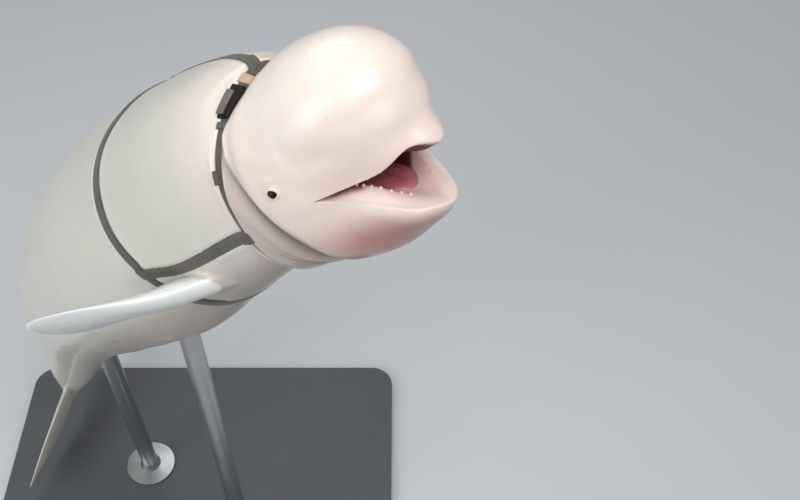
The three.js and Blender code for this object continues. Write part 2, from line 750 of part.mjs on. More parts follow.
const jawBody = whole.intersect(jawRegion);
let rest = whole.subtract(jawGrown);
rest = rest.subtract(headSheet).subtract(chestSheet).subtract(flankSheet).subtract(flukeSheet);
const tailMid = spine[Math.floor((4000 - HEAD_POSE.at) / SPINE_STEP)];
const midSheet = geometrySolid(new THREE.BoxGeometry(800, GAP, 500), (p) => tailMid.centre.clone()
  .addScaledVector(tailMid.nose, p.x).addScaledVector(tailMid.left, p.y).addScaledVector(tailMid.up, p.z));
const pieces = rest.decompose().filter((p) => p.volume() > 1000);
const middle = (m) => {
  const b = m.boundingBox();
  return V((b.min[0] + b.max[0]) / 2, (b.min[1] + b.max[1]) / 2, (b.min[2] + b.max[2]) / 2);
};
function pieceNear(s) {
  const c = bend(V(-s, 0, 0));
  return pieces.reduce((best, p) => (middle(p).distanceTo(c) < middle(best).distanceTo(c) ? p : best), pieces[0]);
}
let head = pieceNear(260);
const neck = pieceNear(670);
let torso = pieceNear(1650);
const tailStock = pieceNear(3200);
const flukePair = pieceNear(4020).subtract(midSheet).decompose().sort((a, b) => b.volume() - a.volume());

head = head.add(upperTeeth);
const jaw = jawBody.add(lowerTeeth);

// Tongue on the floor of the mouth
const tongueShape = geometrySolid(new THREE.SphereGeometry(1, 14, 10), (p) => {
  const a = rad(GAPE + 7);
  const x = p.x * TONGUE.long;
  const z = p.z * TONGUE.thick;
  return bend(V(TONGUE.x + Math.cos(a) * x + Math.sin(a) * z, p.y * TONGUE.wide, TONGUE.z - Math.sin(a) * x + Math.cos(a) * z));
});
const tongue = tongueShape.subtract(skinGrown);

// Belts lie round the skin, tilted against its cross-sections
function beltStation(strap, theta) {
  const p = skinPoint(strap.at, theta);
  return strap.at - strap.lean * p.z - strap.turn * p.y;
}

function belt(strap, width, low, high, count) {
  const sections = [];
  for (let c = 0; c < count; c += 1) {
    const theta = (2 * Math.PI * c) / count;
    const s = beltStation(strap, theta);
    sections.push([[-0.5, low], [0.5, low], [0.5, high], [-0.5, high]].map(([across, lift]) =>
      bend(skinPoint(s - across * width, theta, lift))));
  }
  return toManifold(loopSolid(sections));
}

function runner({ from: theta0, to: theta1, ease }, width, low, high, count) {
  const start = beltStation(NECK_STRAP, theta0) - 6;
  const end = beltStation(GIRTH_STRAP, theta1) + 12;
  const rings = [];
  for (let i = 0; i <= count; i += 1) {
    const t = i / count;
    const s = mix(start, end, t);
    const theta = mix(theta0, theta1, Math.pow(t, ease));
    const r = skinPoint(s, theta).distanceTo(axisPoint(s));
    const half = width / 2 / r;
    rings.push([[-1, low], [1, low], [1, high], [-1, high]].map(([side, lift]) => bend(skinPoint(s, theta + side * half, lift))));
  }
  const mid = (r) => r.reduce((q, p) => q.add(p), V(0, 0, 0)).multiplyScalar(1 / r.length);
  return toManifold(ringSolid(rings, mid(rings[0]), mid(rings[rings.length - 1])));
}

const neckBelt = belt(NECK_STRAP, NECK_STRAP.width, -10, STRAP_LIFT, SIDES);
const neckBeltGrown = belt(NECK_STRAP, NECK_STRAP.width + 2 * GAP, -10, STRAP_LIFT + GAP + 0.2, SIDES);
const girthBelt = belt(GIRTH_STRAP, GIRTH_STRAP.width, -10, STRAP_LIFT, SIDES);
const girthBeltGrown = belt(GIRTH_STRAP, GIRTH_STRAP.width + 2 * GAP, -10, STRAP_LIFT + GAP + 0.2, SIDES);

// Angles of the side straps where they leave the neck strap and reach the girth strap
const RUNNERS = {
  right: { from: rad(202), to: rad(178), ease: 1 },
  left: { from: rad(95), to: rad(54), ease: 0.6 },
};

// A pad lying on the belt, such as a buckle
function pad(s0, s1, theta0, theta1, low, high) {
  const rings = [];
  for (let i = 0; i <= 4; i += 1) {
    const theta = mix(theta0, theta1, i / 4);
    const middle = beltStation(NECK_STRAP, theta);
    rings.push([[s0, low], [s1, low], [s1, high - 3], [s1 - 5, high], [s0 + 5, high], [s0, high - 3]]
      .map(([s, lift]) => bend(skinPoint(middle + s, theta, lift))));
  }
  const mid = (r) => r.reduce((q, p) => q.add(p), V(0, 0, 0)).multiplyScalar(1 / r.length);
  return toManifold(ringSolid(rings, mid(rings[0]), mid(rings[rings.length - 1])));
}

const black = material(0x2a2926, 0.9);
const hide = () => material(0xe8e2d6, 0.45);

addNode('head', head, hide());
addNode('lower_jaw', jaw, hide());
addNode('tongue', tongue, material(0xc98f88, 0.4));
addNode('eye_left', eyes.left, material(0x17120f, 0.15));
addNode('eye_right', eyes.right, material(0x17120f, 0.15));
addNode('neck', neck, hide());
const pedestal = standParts();
torso = torso.subtract(pedestal.frontHole);
addNode('torso', torso, hide());
addNode('tail_stock', tailStock.subtract(pedestal.rearHole), hide());
const flukeSide = (m) => middle(m).sub(tailMid.centre).dot(tailMid.left);
const [flukeA, flukeB] = flukePair;
addNode('fluke_left', flukeSide(flukeA) > 0 ? flukeA : flukeB, hide());
addNode('fluke_right', flukeSide(flukeA) > 0 ? flukeB : flukeA, hide());
addNode('flipper_left', flippers.left, hide());
addNode('flipper_right', flippers.right, hide());
addNode('harness_neck_strap', neckBelt.subtract(skinGrown), black);
addNode('harness_girth_strap', girthBelt.subtract(skinGrown), black);
const neckBuckle = pad(-16, 16, rad(108), rad(129), -6, STRAP_LIFT + 10);
const neckBuckleGrown = pad(-16.5, 16.5, rad(107.7), rad(129.3), -6, STRAP_LIFT + 10.5);
for (const key of ['right', 'left']) {
  const r = RUNNERS[key];
  const run = runner(r, SIDE_STRAP_WIDTH, -8, STRAP_LIFT + 4, 12)
    .subtract(skinGrown).subtract(neckBeltGrown).subtract(girthBeltGrown).subtract(neckBuckleGrown);
  addNode(`harness_side_strap_${key}`, run, material(0x3a352e, 0.9));
}
addNode('harness_buckle', neckBuckle.subtract(skinGrown).subtract(neckBeltGrown), material(0x151515, 0.5));
addNode('stand_rod_front', pedestal.front, material(0x8a8d90, 0.35, 0.9));
addNode('stand_rod_rear', pedestal.rear, material(0x8a8d90, 0.35, 0.9));
addNode('stand_base', pedestal.base, material(0x55585c, 0.6));

// Base plate and the two rods that carry the body
function standParts() {
  const all = [skin, flukes, flippers.left, flippers.right].map((m) => m.boundingBox());
  const low = Math.min(...all.map((b) => b.min[2]));
  const topZ = low - TAIL_CLEARANCE;
  const frontAt = bend(V(-1500, 0, 0));
  const rearAt = bend(V(-2760, 0, 0));
  const rod = (at, depth) => {
    const seat = at.z - depth;
    const profile = [
      new THREE.Vector2(0, topZ + GAP),
      new THREE.Vector2(130, topZ + GAP),
      new THREE.Vector2(130, topZ + 14),
      new THREE.Vector2(ROD_RADIUS + 14, topZ + 22),
      new THREE.Vector2(ROD_RADIUS, topZ + 60),
      new THREE.Vector2(ROD_RADIUS, seat),
      new THREE.Vector2(0, seat),
    ];
    return geometrySolid(new THREE.LatheGeometry(profile, 24), (p) => V(at.x + p.x, at.y - p.z, p.y));
  };
  const hole = (at, depth) => {
    const g = new THREE.CylinderGeometry(ROD_RADIUS + GAP + 0.1, ROD_RADIUS + GAP + 0.1, 2000, 24);
    return geometrySolid(g, (p) => V(at.x + p.x, at.y - p.z, p.y + at.z - depth + GAP - 1000));
  };
  const outline = new THREE.Shape();
  const hx = BASE_SIZE.x / 2;
  const hy = BASE_SIZE.y / 2;
  const c = BASE_CORNER;
  outline.moveTo(-hx + c, -hy);
  outline.lineTo(hx - c, -hy);
  outline.absarc(hx - c, -hy + c, c, -Math.PI / 2, 0, false);
  outline.lineTo(hx, hy - c);
  outline.absarc(hx - c, hy - c, c, 0, Math.PI / 2, false);
  outline.lineTo(-hx + c, hy);
  outline.absarc(-hx + c, hy - c, c, Math.PI / 2, Math.PI, false);
  outline.lineTo(-hx, -hy + c);
  outline.absarc(-hx + c, -hy + c, c, Math.PI, 1.5 * Math.PI, false);
  const plate = new THREE.ExtrudeGeometry(outline, { depth: BASE_SIZE.z, bevelEnabled: false, curveSegments: 8 });
  const cx = (frontAt.x + rearAt.x) / 2;
  const cy = (frontAt.y + rearAt.y) / 2;
  const base = geometrySolid(plate, (p) => V(cx + p.x, cy + p.y, topZ - BASE_SIZE.z + p.z));
  return {
    base,
    front: rod(frontAt, 60),
    rear: rod(rearAt, 40),
    frontHole: hole(frontAt, 60),
    rearHole: hole(rearAt, 40),
  };
}

// Rest the plate on z = 0 and centre the whole on the vertical axis
const box = new THREE.Box3();
for (const m of made) box.union(new THREE.Box3().setFromBufferAttribute(m.geometry.getAttribute('position')));
const shift = V(-(box.min.x + box.max.x) / 2, -(box.min.y + box.max.y) / 2, -box.min.z);
for (const m of made) m.geometry.translate(shift.x, shift.y, shift.z);

export default group;
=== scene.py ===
import math

import bpy
import numpy as np
from mathutils import Matrix, Vector, kdtree

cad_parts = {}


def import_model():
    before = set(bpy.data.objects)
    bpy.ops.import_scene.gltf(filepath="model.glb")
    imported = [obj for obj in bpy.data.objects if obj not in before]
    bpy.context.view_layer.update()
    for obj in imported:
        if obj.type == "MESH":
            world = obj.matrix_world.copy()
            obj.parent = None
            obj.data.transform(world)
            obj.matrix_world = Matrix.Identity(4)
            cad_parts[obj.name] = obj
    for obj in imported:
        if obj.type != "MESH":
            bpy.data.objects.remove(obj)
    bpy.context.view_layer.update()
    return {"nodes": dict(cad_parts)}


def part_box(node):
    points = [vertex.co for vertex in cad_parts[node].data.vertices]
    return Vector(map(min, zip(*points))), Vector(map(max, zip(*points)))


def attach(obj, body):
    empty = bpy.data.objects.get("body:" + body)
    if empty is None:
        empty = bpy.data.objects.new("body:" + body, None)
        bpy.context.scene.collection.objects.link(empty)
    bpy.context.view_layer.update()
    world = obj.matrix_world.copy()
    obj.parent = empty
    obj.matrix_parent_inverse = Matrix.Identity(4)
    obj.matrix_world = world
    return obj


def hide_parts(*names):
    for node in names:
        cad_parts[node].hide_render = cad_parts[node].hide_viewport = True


bl_info = {
    "name": "Beluga whale model",
    "version": (1, 0, 0),
    "blender": (4, 5, 0),
    "location": "View3D > Sidebar > Beluga",
    "description": "Builds the skin, mouth, eyes, harness and display stand of a life-size beluga",
    "category": "Add Mesh",
}

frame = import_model()

# Named sizes of the straight animal in millimetres:
# x = 0 at the beak and negative towards the tail, y to the left, z to the back.
# They are the part's own, but for the crease, gum slope, lips, tongue, teeth and right side strap.
STATION_AT = np.array([260, 560, 1000, 1550, 2150, 2750, 3350, 3750, 4090], float)
STATION = {
    "back": np.array([205, 292, 324, 350, 338, 272, 176, 104, 30], float),
    "belly": np.array([-190, -258, -335, -405, -360, -262, -168, -98, -24], float),
    "half": np.array([190, 242, 318, 375, 335, 240, 118, 62, 26], float),
}
RIDGE = {"height": 22, "half": 40, "from": 1750, "to": 2750}
# Neck crease by the angle up from the side
CREASE_AT = np.array([-90, -45, 0, 40, 65, 90], float)
CREASE = {
    "station": np.array([360, 390, 431, 447, 424, 384], float),
    "depth": np.array([16, 21, 15, 18, 30, 36], float),
    "wide": np.array([28, 28, 25, 28, 40, 48], float),
}
GAPE = math.radians(15.5)
HINGE = (-330, -55)
# Head forms: centre x and z, three half sizes, and the share of the gape they turn by
FORMS = {
    "cranium": (-385, 26, 262, 218, 240, 0),
    "melon": (-206, 112, 196, 174, 168, 0),
    "throat": (-430, -105, 220, 186, 165, 0),
    "jaw_base": (-296, -150, 184, 156, 106, 0.8),
    "beak": (-154, -14, 154, 88, 60, 0),
    "jaw": (-176, -78, 150, 131, 102, 1.0),
}
JAW_SQUARE = 1.8
BLEND_HEAD = 74
BLEND_JAW = 50
MOUTH_EYE = np.array([-300.0, 0.0, -50.0])
THROAT_END = np.array([-300.0, 0.0, -42.0])
CORNER_ANGLE = 77
# Drop of the lower lip in degrees and rise of the gum behind it, by the angle from the front
LIP_AT = np.array([0, 10, 20, 30, 40, 52, 65, 77], float)
LIP_DROP = np.array([29, 27.5, 25.8, 20.5, 16.5, 10.3, 5.6, 0], float)
GUM_RISE = np.array([2, 7, 22, 29, 32, 20, 7, 0], float)
GUM_PLACE = 0.2
GUM_SLOPE = {"upper": 0.13, "lower": 0.28}
# Lower lip drawn back on the left and pushed on at the tip, by the angle from the front
TUCK_AT = np.array([-34, -18, 0, 9, 17, 26, 34, 43, 52, 65], float)
LIP_TUCK = np.array([0, -11, -16, -6, 9, 20, 20, 11, 4, 0], float)
# Where the flesh turns red and dark, by the angle from the front; towards the corners it starts nearer the
# lip, as painted shade under the beak
RED_AT = np.array([0, 17, 26, 34, 43, 60], float)
RED_FROM = np.array([0.41, 0.4, 0.31, 0.2, 0.09, 0.05])
UPPER_GUM = 9
PALATE_ARCH = 26
FLOOR_SINK = 24
HEAD_END = 515
TAIL_END = 4085.0
EYE = {"station": 338, "height": 13, "radius": 18.0, "long": 25.0, "tall": 18.0, "sunk": 13.0, "bulge": 1.4}
# Raised skin round the eye, its rim, and how far the opening is past the sizes of the eye
LID = {"mound": 3.0, "rim": 1.1, "long": 1.14, "tall": 1.02}
BLOWHOLE = {"station": 330, "radius": 30, "ahead": 22, "slit": 9.0, "lips": 3.0, "arc": 78}
TONGUE = {"x": -208, "z": -96, "long": 84, "wide": 62, "thick": 27, "droop": 7, "groove": 5, "ripple": 1.2}
# Teeth of each side of a jaw, with the angles of the first and last, and the sizes of a peg
TEETH = {"count": 7, "first": 76, "last": 50}
PEG = {"upper": 2.5, "lower": 5.0, "uneven": 1.2, "half": 4.3, "root": 10}
POSES = {
    "at": [400, 900, 2300, 4100],
    "yaw": [-30, -42, -36, -30],
    "pitch": [36.1, 46, 57, 73],
    "roll": [-7.4, 16, 18, 18],
}
FLIPPER = {"station": 835, "span": 475, "chord": 250, "turn": 13}
FLIPPER_AIM = {"right": (-0.3, -0.62, 6), "left": (-0.3, 0.3, 8)}
FLUKE_HALF_SPAN = 520
FLUKE_ROOT = 3860.0
STRAP_COVER = 13
NECK_STRAP = {"at": 463, "lean": 0.155, "turn": 0.08, "width": 24}
GIRTH_STRAP = {"at": 990, "lean": 0.05, "turn": 0.0, "width": 46}
SIDE_STRAP_WIDTH = 38
RUNNERS = {"right": (202, 178, 1.5), "left": (95, 54, 0.6)}
BUCKLE_ANGLES = (108, 129)

# Height in metres over which limbs are the flippers, whitened as painted light
LIMB_FLOOR = 1.5
# How far a belt and a side strap press the skin in, and how far it swells beside them
PRESS = {"belt": 6.0, "belt_side": 3.0, "runner": 4.0, "runner_side": 2.5}
# Folds by distance behind the neck crease: distance, height and half width
LOW_FOLDS = ((-14, 4.0, 12), (30, 2.0, 14), (52, -1.2, 4))
CHIN_FOLDS = ((78, -1.6, 5), (92, 1.6, 12), (116, -1.4, 6), (132, 1.2, 13))
TOP_FOLDS = ((52, -1.6, 6), (70, 1.4, 12))

# Rows of the skin's grid from the throat to the tail, and its columns round the body
SKIN_COLUMNS = 216
MOUTH_ROWS = 44
HEAD_ROWS = 120
CHEST_ROWS = 70
BODY_ROWS = 170
SKIN_ROWS = MOUTH_ROWS + HEAD_ROWS + BODY_ROWS
CHEST_STEP = 8.0


def smooth(v):
    t = np.clip(v, 0, 1)
    return t * t * (3 - 2 * t)


def mix(a, b, t):
    return a + (b - a) * t


def bell(off, wide):
    return np.exp(-((off / wide) ** 2))


def unit(v):
    return v / np.linalg.norm(v, axis=-1, keepdims=True)


def curve_value(at, val, s):
    """Smooth curve through a table of sizes."""
    rise = np.diff(val) / np.diff(at)
    slope = np.zeros(len(at))
    both = rise[:-1] * rise[1:] > 0
    total = np.where(both, rise[:-1] + rise[1:], 1)
    slope[1:-1] = np.where(both, 2 * rise[:-1] * rise[1:] / total, 0)
    s = np.clip(s, at[0], at[-1])
    i = np.clip(np.searchsorted(at, s) - 1, 0, len(at) - 2)
    w = at[i + 1] - at[i]
    t = (s - at[i]) / w
    t2, t3 = t * t, t * t * t
    return (
        (2 * t3 - 3 * t2 + 1) * val[i]
        + (t3 - 2 * t2 + t) * w * slope[i]
        + (3 * t2 - 2 * t3) * val[i + 1]
        + (t3 - t2) * w * slope[i + 1]
    )


def station_value(key, s):
    return curve_value(STATION_AT, STATION[key], s)


def angle_up(y, z, s):
    """Angle round the body, in degrees up from the side."""
    zc = (station_value("back", s) + station_value("belly", s)) / 2
    return np.degrees(np.arctan2(z - zc, np.abs(y) + 1e-6))


def crease_value(key, up):
    return curve_value(CREASE_AT, CREASE[key], up)


def crease_depth(x, y, z):
    """How far the neck crease draws the skin in."""
    up = angle_up(y, z, -x)
    off = (-x - crease_value("station", up)) / crease_value("wide", up)
    return crease_value("depth", up) * np.exp(-off * off)


def body_field(x, y, z):
    s = -x
    back, belly, half = (station_value(k, s) for k in ("back", "belly", "half"))
    front = np.clip((s - 190) / 370, 0, 1)
    fade = np.sqrt(np.maximum(0.02, 1 - (1 - front) ** 2))
    zc = (back + belly) / 2
    h = (back - belly) / 2 * fade
    w = half * fade
    dz = z - zc
    q = ((np.abs(y) / w) ** 2.15 + (np.abs(dz) / h) ** 2.15) ** (1 / 2.15)
    d = np.hypot(y, dz) * (1 - 1 / np.maximum(q, 1e-6))
    d = np.where(s < 190, np.maximum(d, 190 - s), d)
    ridge = smooth((s - RIDGE["from"]) / 300) * smooth((RIDGE["to"] - s) / 500)
    return d - np.where(dz > 0, RIDGE["height"] * ridge * bell(y, RIDGE["half"]), 0)


def form_field(form, x, y, z, square=2.0):
    cx, cz, rx, ry, rz, turn = form
    a = GAPE * turn
    dx, dz = x - HINGE[0], z - HINGE[1]
    px = HINGE[0] + math.cos(a) * dx - math.sin(a) * dz - cx
    pz = HINGE[1] + math.sin(a) * dx + math.cos(a) * dz - cz
    flat = (np.abs(px / rx) ** square + np.abs(y / ry) ** square) ** (1 / square)
    k0 = np.hypot(flat, pz / rz)
    k1 = np.sqrt((px / rx**2) ** 2 + (y / ry**2) ** 2 + (pz / rz**2) ** 2)
    return k0 * (k0 - 1) / np.maximum(k1, 1e-9)


def blend(a, b, k):
    h = np.maximum(k - np.abs(a - b), 0) / k
    return np.minimum(a, b) - h * h * k / 4


def field(p):
    x, y, z = p[..., 0], p[..., 1], p[..., 2]
    d = body_field(x, y, z)
    near = d
    for name in ("cranium", "melon", "throat", "jaw_base", "beak", "jaw"):
        k = BLEND_JAW if name.startswith("jaw") else BLEND_HEAD
        square = JAW_SQUARE if name == "jaw" else 2.0
        near = blend(near, form_field(FORMS[name], x, y, z, square), k)
    return np.where(x < -900, d, near + crease_depth(x, y, z))


def reach(o, d):
    """Distance from points inside to the skin along directions."""
    t = np.full(d.shape[:-1], 4.0)
    going = np.ones(t.shape, bool)
    while going.any() and t.max() < 900:
        inside = np.zeros(t.shape, bool)
        inside[going] = field(o[going] + d[going] * t[going][:, None]) < 0
        going = inside
        t[going] += 12
    lo, hi = t - 12, t.copy()
    for _ in range(16):
        m = (lo + hi) / 2
        inside = field(o + d * m[..., None]) < 0
        lo = np.where(inside, m, lo)
        hi = np.where(inside, hi, m)
    return (lo + hi) / 2


def axis_point(s):
    s = np.asarray(s, float)
    zc = (station_value("back", s) + station_value("belly", s)) / 2
    return np.stack([-s, np.zeros_like(s), zc], -1)


def skin_point(s, theta, lift=0.0):
    s, theta, lift = np.broadcast_arrays(np.asarray(s, float), theta, lift)
    o = axis_point(s)
    d = np.stack([np.zeros_like(s), np.cos(theta), np.sin(theta)], -1)
    r = reach(o.reshape(-1, 3), d.reshape(-1, 3)).reshape(s.shape) + lift
    return o + d * r[..., None]


def lip_angle(theta):
    """Angle of a point of the lips from the front, in degrees to the left."""
    side = np.cos(theta)
    return CORNER_ANGLE * side * (0.78 + 0.22 * side * side)


def lip_direction(theta):
    plan = lip_angle(theta)
    arch = 5.5 * bell(np.abs(plan) - 13, 9)
    drop = curve_value(LIP_AT, LIP_DROP, np.abs(plan))
    lift = np.radians(np.where(np.sin(theta) >= 0, 4.2 + arch, 3.5 - drop))
    plan = np.radians(plan)
    return np.stack([np.cos(lift) * np.cos(plan), np.cos(lift) * np.sin(plan), np.sin(lift)], -1)


def lip_point(theta):
    d = lip_direction(theta)
    o = np.broadcast_to(MOUTH_EYE, d.shape)
    return o + d * reach(o, d)[..., None]


def mouth_point(theta, u):
    """Inner wall of the mouth: u is 0 at the lip and 1 at the back of the throat."""
    theta, u = np.broadcast_arrays(np.asarray(theta, float), u)
    shape = theta.shape
    theta, u = theta.ravel(), u.ravel()
    p = mix(lip_point(theta), THROAT_END, u[:, None])
    wide = np.abs(np.sin(theta))
    upper = np.sin(theta) >= 0
    slope = np.where(upper, GUM_SLOPE["upper"], GUM_SLOPE["lower"])
    gum = smooth(u / GUM_PLACE) * (1 - smooth((u - GUM_PLACE) / slope))
    hollow = smooth((u - np.where(upper, GUM_PLACE, 0.36)) / 0.16) * smooth((1 - u) / 0.4) * wide
    rise = curve_value(LIP_AT, GUM_RISE, np.abs(lip_angle(theta)))
    arch = PALATE_ARCH * hollow - UPPER_GUM * gum * wide
    p[:, 2] += np.where(upper, arch, rise * gum - FLOOR_SINK * hollow)
    p += lip_shift(theta) * (1 - smooth(u / 0.45))[:, None]
    return p.reshape(shape + (3,))


def lip_shift(theta):
    """Uneven places of the lips: the left lower lip drawn back, the tip of the upper lip let down."""
    off = lip_angle(theta)
    upper = np.sin(theta) >= 0
    back = curve_value(TUCK_AT, LIP_TUCK, off)
    tip = smooth((off + 8) / 12) * smooth((45 - off) / 25)
    x = np.where(upper, 4 * tip, -back)
    z = np.where(upper, -9 * tip, 0)
    return np.stack([x, np.zeros_like(x), z], -1)


def head_point(theta, v):
    theta, v = np.broadcast_arrays(np.asarray(theta, float), v)
    shape = theta.shape
    theta, v = theta.ravel(), v.ravel()
    o = mix(MOUTH_EYE, axis_point(HEAD_END), smooth(v)[:, None])
    across = np.stack([np.zeros_like(theta), np.cos(theta), np.sin(theta)], -1)
    w = v[:, None] ** 1.15
    d = unit(lip_direction(theta) * (1 - w) + across * w)
    return (o + d * reach(o, d)[:, None]).reshape(shape + (3,))


def frame_at(s):
    """Nose, left and up directions of the posed animal at stations s."""
    s = np.asarray(s, float)
    at = np.array(POSES["at"], float)
    i = np.clip(np.searchsorted(at, s) - 1, 0, 2)
    t = np.clip((s - at[i]) / (at[i + 1] - at[i]), 0, 1)
    t = np.where(i == 0, smooth(t), t)
    yaw, pitch, roll = (
        np.radians(mix(np.array(POSES[k], float)[i], np.array(POSES[k], float)[i + 1], t))
        for k in ("yaw", "pitch", "roll")
    )
    cy, sy, cp, sp = np.cos(yaw), np.sin(yaw), np.cos(pitch), np.sin(pitch)
    cr, sr = np.cos(roll)[..., None], np.sin(roll)[..., None]
    nose = np.stack([cp * cy, cp * sy, sp], -1)
    up = np.stack([-sp * cy, -sp * sy, cp], -1)
    left = np.stack([-sy, cy, np.zeros_like(sy)], -1)
    return nose, left * cr + up * sr, up * cr - left * sr


SPINE_STEP = 10.0
SPINE_END = 4520
SPINE_S = np.arange(POSES["at"][0], SPINE_END, SPINE_STEP)
SPINE_NOSE, SPINE_LEFT, SPINE_UP = frame_at(SPINE_S)
SPINE_MOVES = frame_at(SPINE_S[:-1] + SPINE_STEP / 2)[0] * -SPINE_STEP
SPINE_C = SPINE_NOSE[0] * -SPINE_S[0] + np.vstack([np.zeros(3), np.cumsum(SPINE_MOVES, 0)])


def bend(p):
    """Moves points of the straight animal into the pose, still in millimetres from the beak."""
    s = -p[..., 0]
    x = np.where(s <= SPINE_S[0], p[..., 0] + SPINE_S[0], 0)
    k = np.clip(((s - SPINE_S[0]) / SPINE_STEP).astype(int), 0, len(SPINE_S) - 2)
    t = np.clip((s - SPINE_S[k]) / SPINE_STEP, 0, 1)[..., None]
    left = unit(mix(SPINE_LEFT[k], SPINE_LEFT[k + 1], t))
    up = unit(mix(SPINE_UP[k], SPINE_UP[k + 1], t))
    centre = mix(SPINE_C[k], SPINE_C[k + 1], t) + SPINE_NOSE[0] * x[..., None]
    return centre + left * p[..., 1:2] + up * p[..., 2:3]


def eye_frame(sign):
    """Place on the skin and the along, tall and outward directions of an eye, straight animal."""
    o = np.array([[-EYE["station"], 0.0, EYE["height"]]], float)
    d = np.array([[0.0, sign, 0.0]])
    p = (o + d * reach(o, d)[:, None])[0]
    e = 6.0
    n = unit(np.array([field(p + step) - field(p - step) for step in np.eye(3) * e]))
    along = unit(np.array([1.0, 0, 0]) - n * n[0])
    tall = np.cross(n, along) * sign
    return p, along, tall, n


def eye_middle():
    ends = [eye_frame(sign) for sign in (1, -1)]
    return sum(p - n * EYE["sunk"] for p, _, _, n in ends) / 2


def beak_origin():
    """Scene place of the beak tip, in metres, read from the two eyes of the frame."""
    boxes = [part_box("eye_left"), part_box("eye_right")]
    middle = sum((np.array(lo) + np.array(hi)) / 2 for lo, hi in boxes) / 2
    return middle - bend(eye_middle()) / 1000


ORIGIN = beak_origin()


def place(p):
    """Straight-animal millimetres to metres of the scene."""
    return bend(p) / 1000 + ORIGIN


def world(p):
    """Posed millimetres from the beak to metres of the scene."""
    return p / 1000 + ORIGIN


# Straps on the body
def strap_line(strap, p):
    """Station of a belt's middle line beside points."""
    return strap["at"] - strap["lean"] * p[..., 2] - strap["turn"] * p[..., 1]


def belt_station(strap, theta):
    """Station of a belt's middle line at an angle round the body."""
    return strap_line(strap, skin_point(strap["at"], theta))


def runner_line(key):
    """Start and end stations and angles of a side strap, and how fast it leaves the first."""
    first, last, ease = RUNNERS[key]
    first, last = math.radians(first), math.radians(last)
    start = float(belt_station(NECK_STRAP, np.array([first]))[0]) - 6
    end = float(belt_station(GIRTH_STRAP, np.array([last]))[0]) + 12
    return start, end, first, last, ease


RUNNER_LINES = {key: runner_line(key) for key in RUNNERS}


# Selection and modelling helpers
def deselect():
    if bpy.context.object and bpy.context.object.mode != "OBJECT":
        bpy.ops.object.mode_set(mode="OBJECT")
    bpy.ops.object.select_all(action="DESELECT")


def focus(ob):
    deselect()
    ob.select_set(True)
    bpy.context.view_layer.objects.active = ob


def coords(ob):
    co = np.zeros(len(ob.data.vertices) * 3)
    ob.data.vertices.foreach_get("co", co)
    return co.reshape(-1, 3)


def set_coords(ob, co):
    ob.data.vertices.foreach_set("co", np.ascontiguousarray(co, dtype=np.float32).ravel())
    ob.data.update()


def select_verts(ob, mask):
    ob.data.polygons.foreach_set("select", np.zeros(len(ob.data.polygons), bool))
    ob.data.edges.foreach_set("select", np.zeros(len(ob.data.edges), bool))
    ob.data.vertices.foreach_set("select", np.asarray(mask, bool))


def edit(ob, mode="VERT"):
    focus(ob)
    bpy.context.tool_settings.mesh_select_mode = (mode == "VERT", mode == "EDGE", mode == "FACE")
    bpy.ops.object.mode_set(mode="EDIT")


def leave():
    bpy.ops.object.mode_set(mode="OBJECT")


def smooth_verts(ob, mask, factor, repeat):
    select_verts(ob, mask)
    edit(ob)
    bpy.ops.mesh.vertices_smooth(factor=factor, repeat=repeat)
    leave()


def face_out(ob):
    select_verts(ob, np.ones(len(ob.data.vertices), bool))
    edit(ob)
    bpy.ops.mesh.select_all(action="SELECT")
    bpy.ops.mesh.normals_make_consistent(inside=False)
    leave()


def shade(ob, angle=None):
    focus(ob)
    bpy.ops.object.shade_smooth()
    if angle is not None:
        bpy.ops.object.shade_smooth_by_angle(angle=math.radians(angle))


def soften_edges(ob, width):
    focus(ob)
    bevel = ob.modifiers.new("edge", "BEVEL")
    bevel.width = width
    bevel.segments = 3
    bevel.limit_method = "ANGLE"
    bevel.angle_limit = math.radians(40)
    bpy.ops.object.modifier_apply(modifier=bevel.name)
    shade(ob, 35)


def attribute(ob, name, values):
    layer = ob.data.attributes.get(name) or ob.data.attributes.new(name, "FLOAT", "POINT")
    layer.data.foreach_set("value", np.ascontiguousarray(values, dtype=np.float32))


def use_material(ob, m):
    ob.data.materials.clear()
    ob.data.materials.append(m)


def finish_piece(ob, m, slot, *nodes):
    """Gives a piece its material and body, and hides the nodes that it replaces; the slot is not used."""
    use_material(ob, m)
    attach(ob, "root")
    if nodes:
        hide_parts(*nodes)


def sphere_grid(name, columns, rows, build):
    """A sphere whose rows and columns are laid out by build(theta, row); row 0 and rows are its poles."""
    deselect()
    bpy.ops.mesh.primitive_uv_sphere_add(segments=columns, ring_count=rows, radius=1, location=(0, 0, 0))
    ob = bpy.context.object
    ob.name = ob.data.name = name
    co = coords(ob)
    row = np.rint(np.arccos(np.clip(co[:, 2], -1, 1)) * rows / np.pi).astype(int)
    theta = np.arctan2(co[:, 1], co[:, 0])
    set_coords(ob, build(theta, row))
    return ob, theta, row


def boolean_union(ob, other):
    focus(ob)
    m = ob.modifiers.new("join", "BOOLEAN")
    m.operation = "UNION"
    m.solver = "EXACT"
    m.object = other
    bpy.ops.object.modifier_apply(modifier=m.name)
    bpy.data.objects.remove(other)


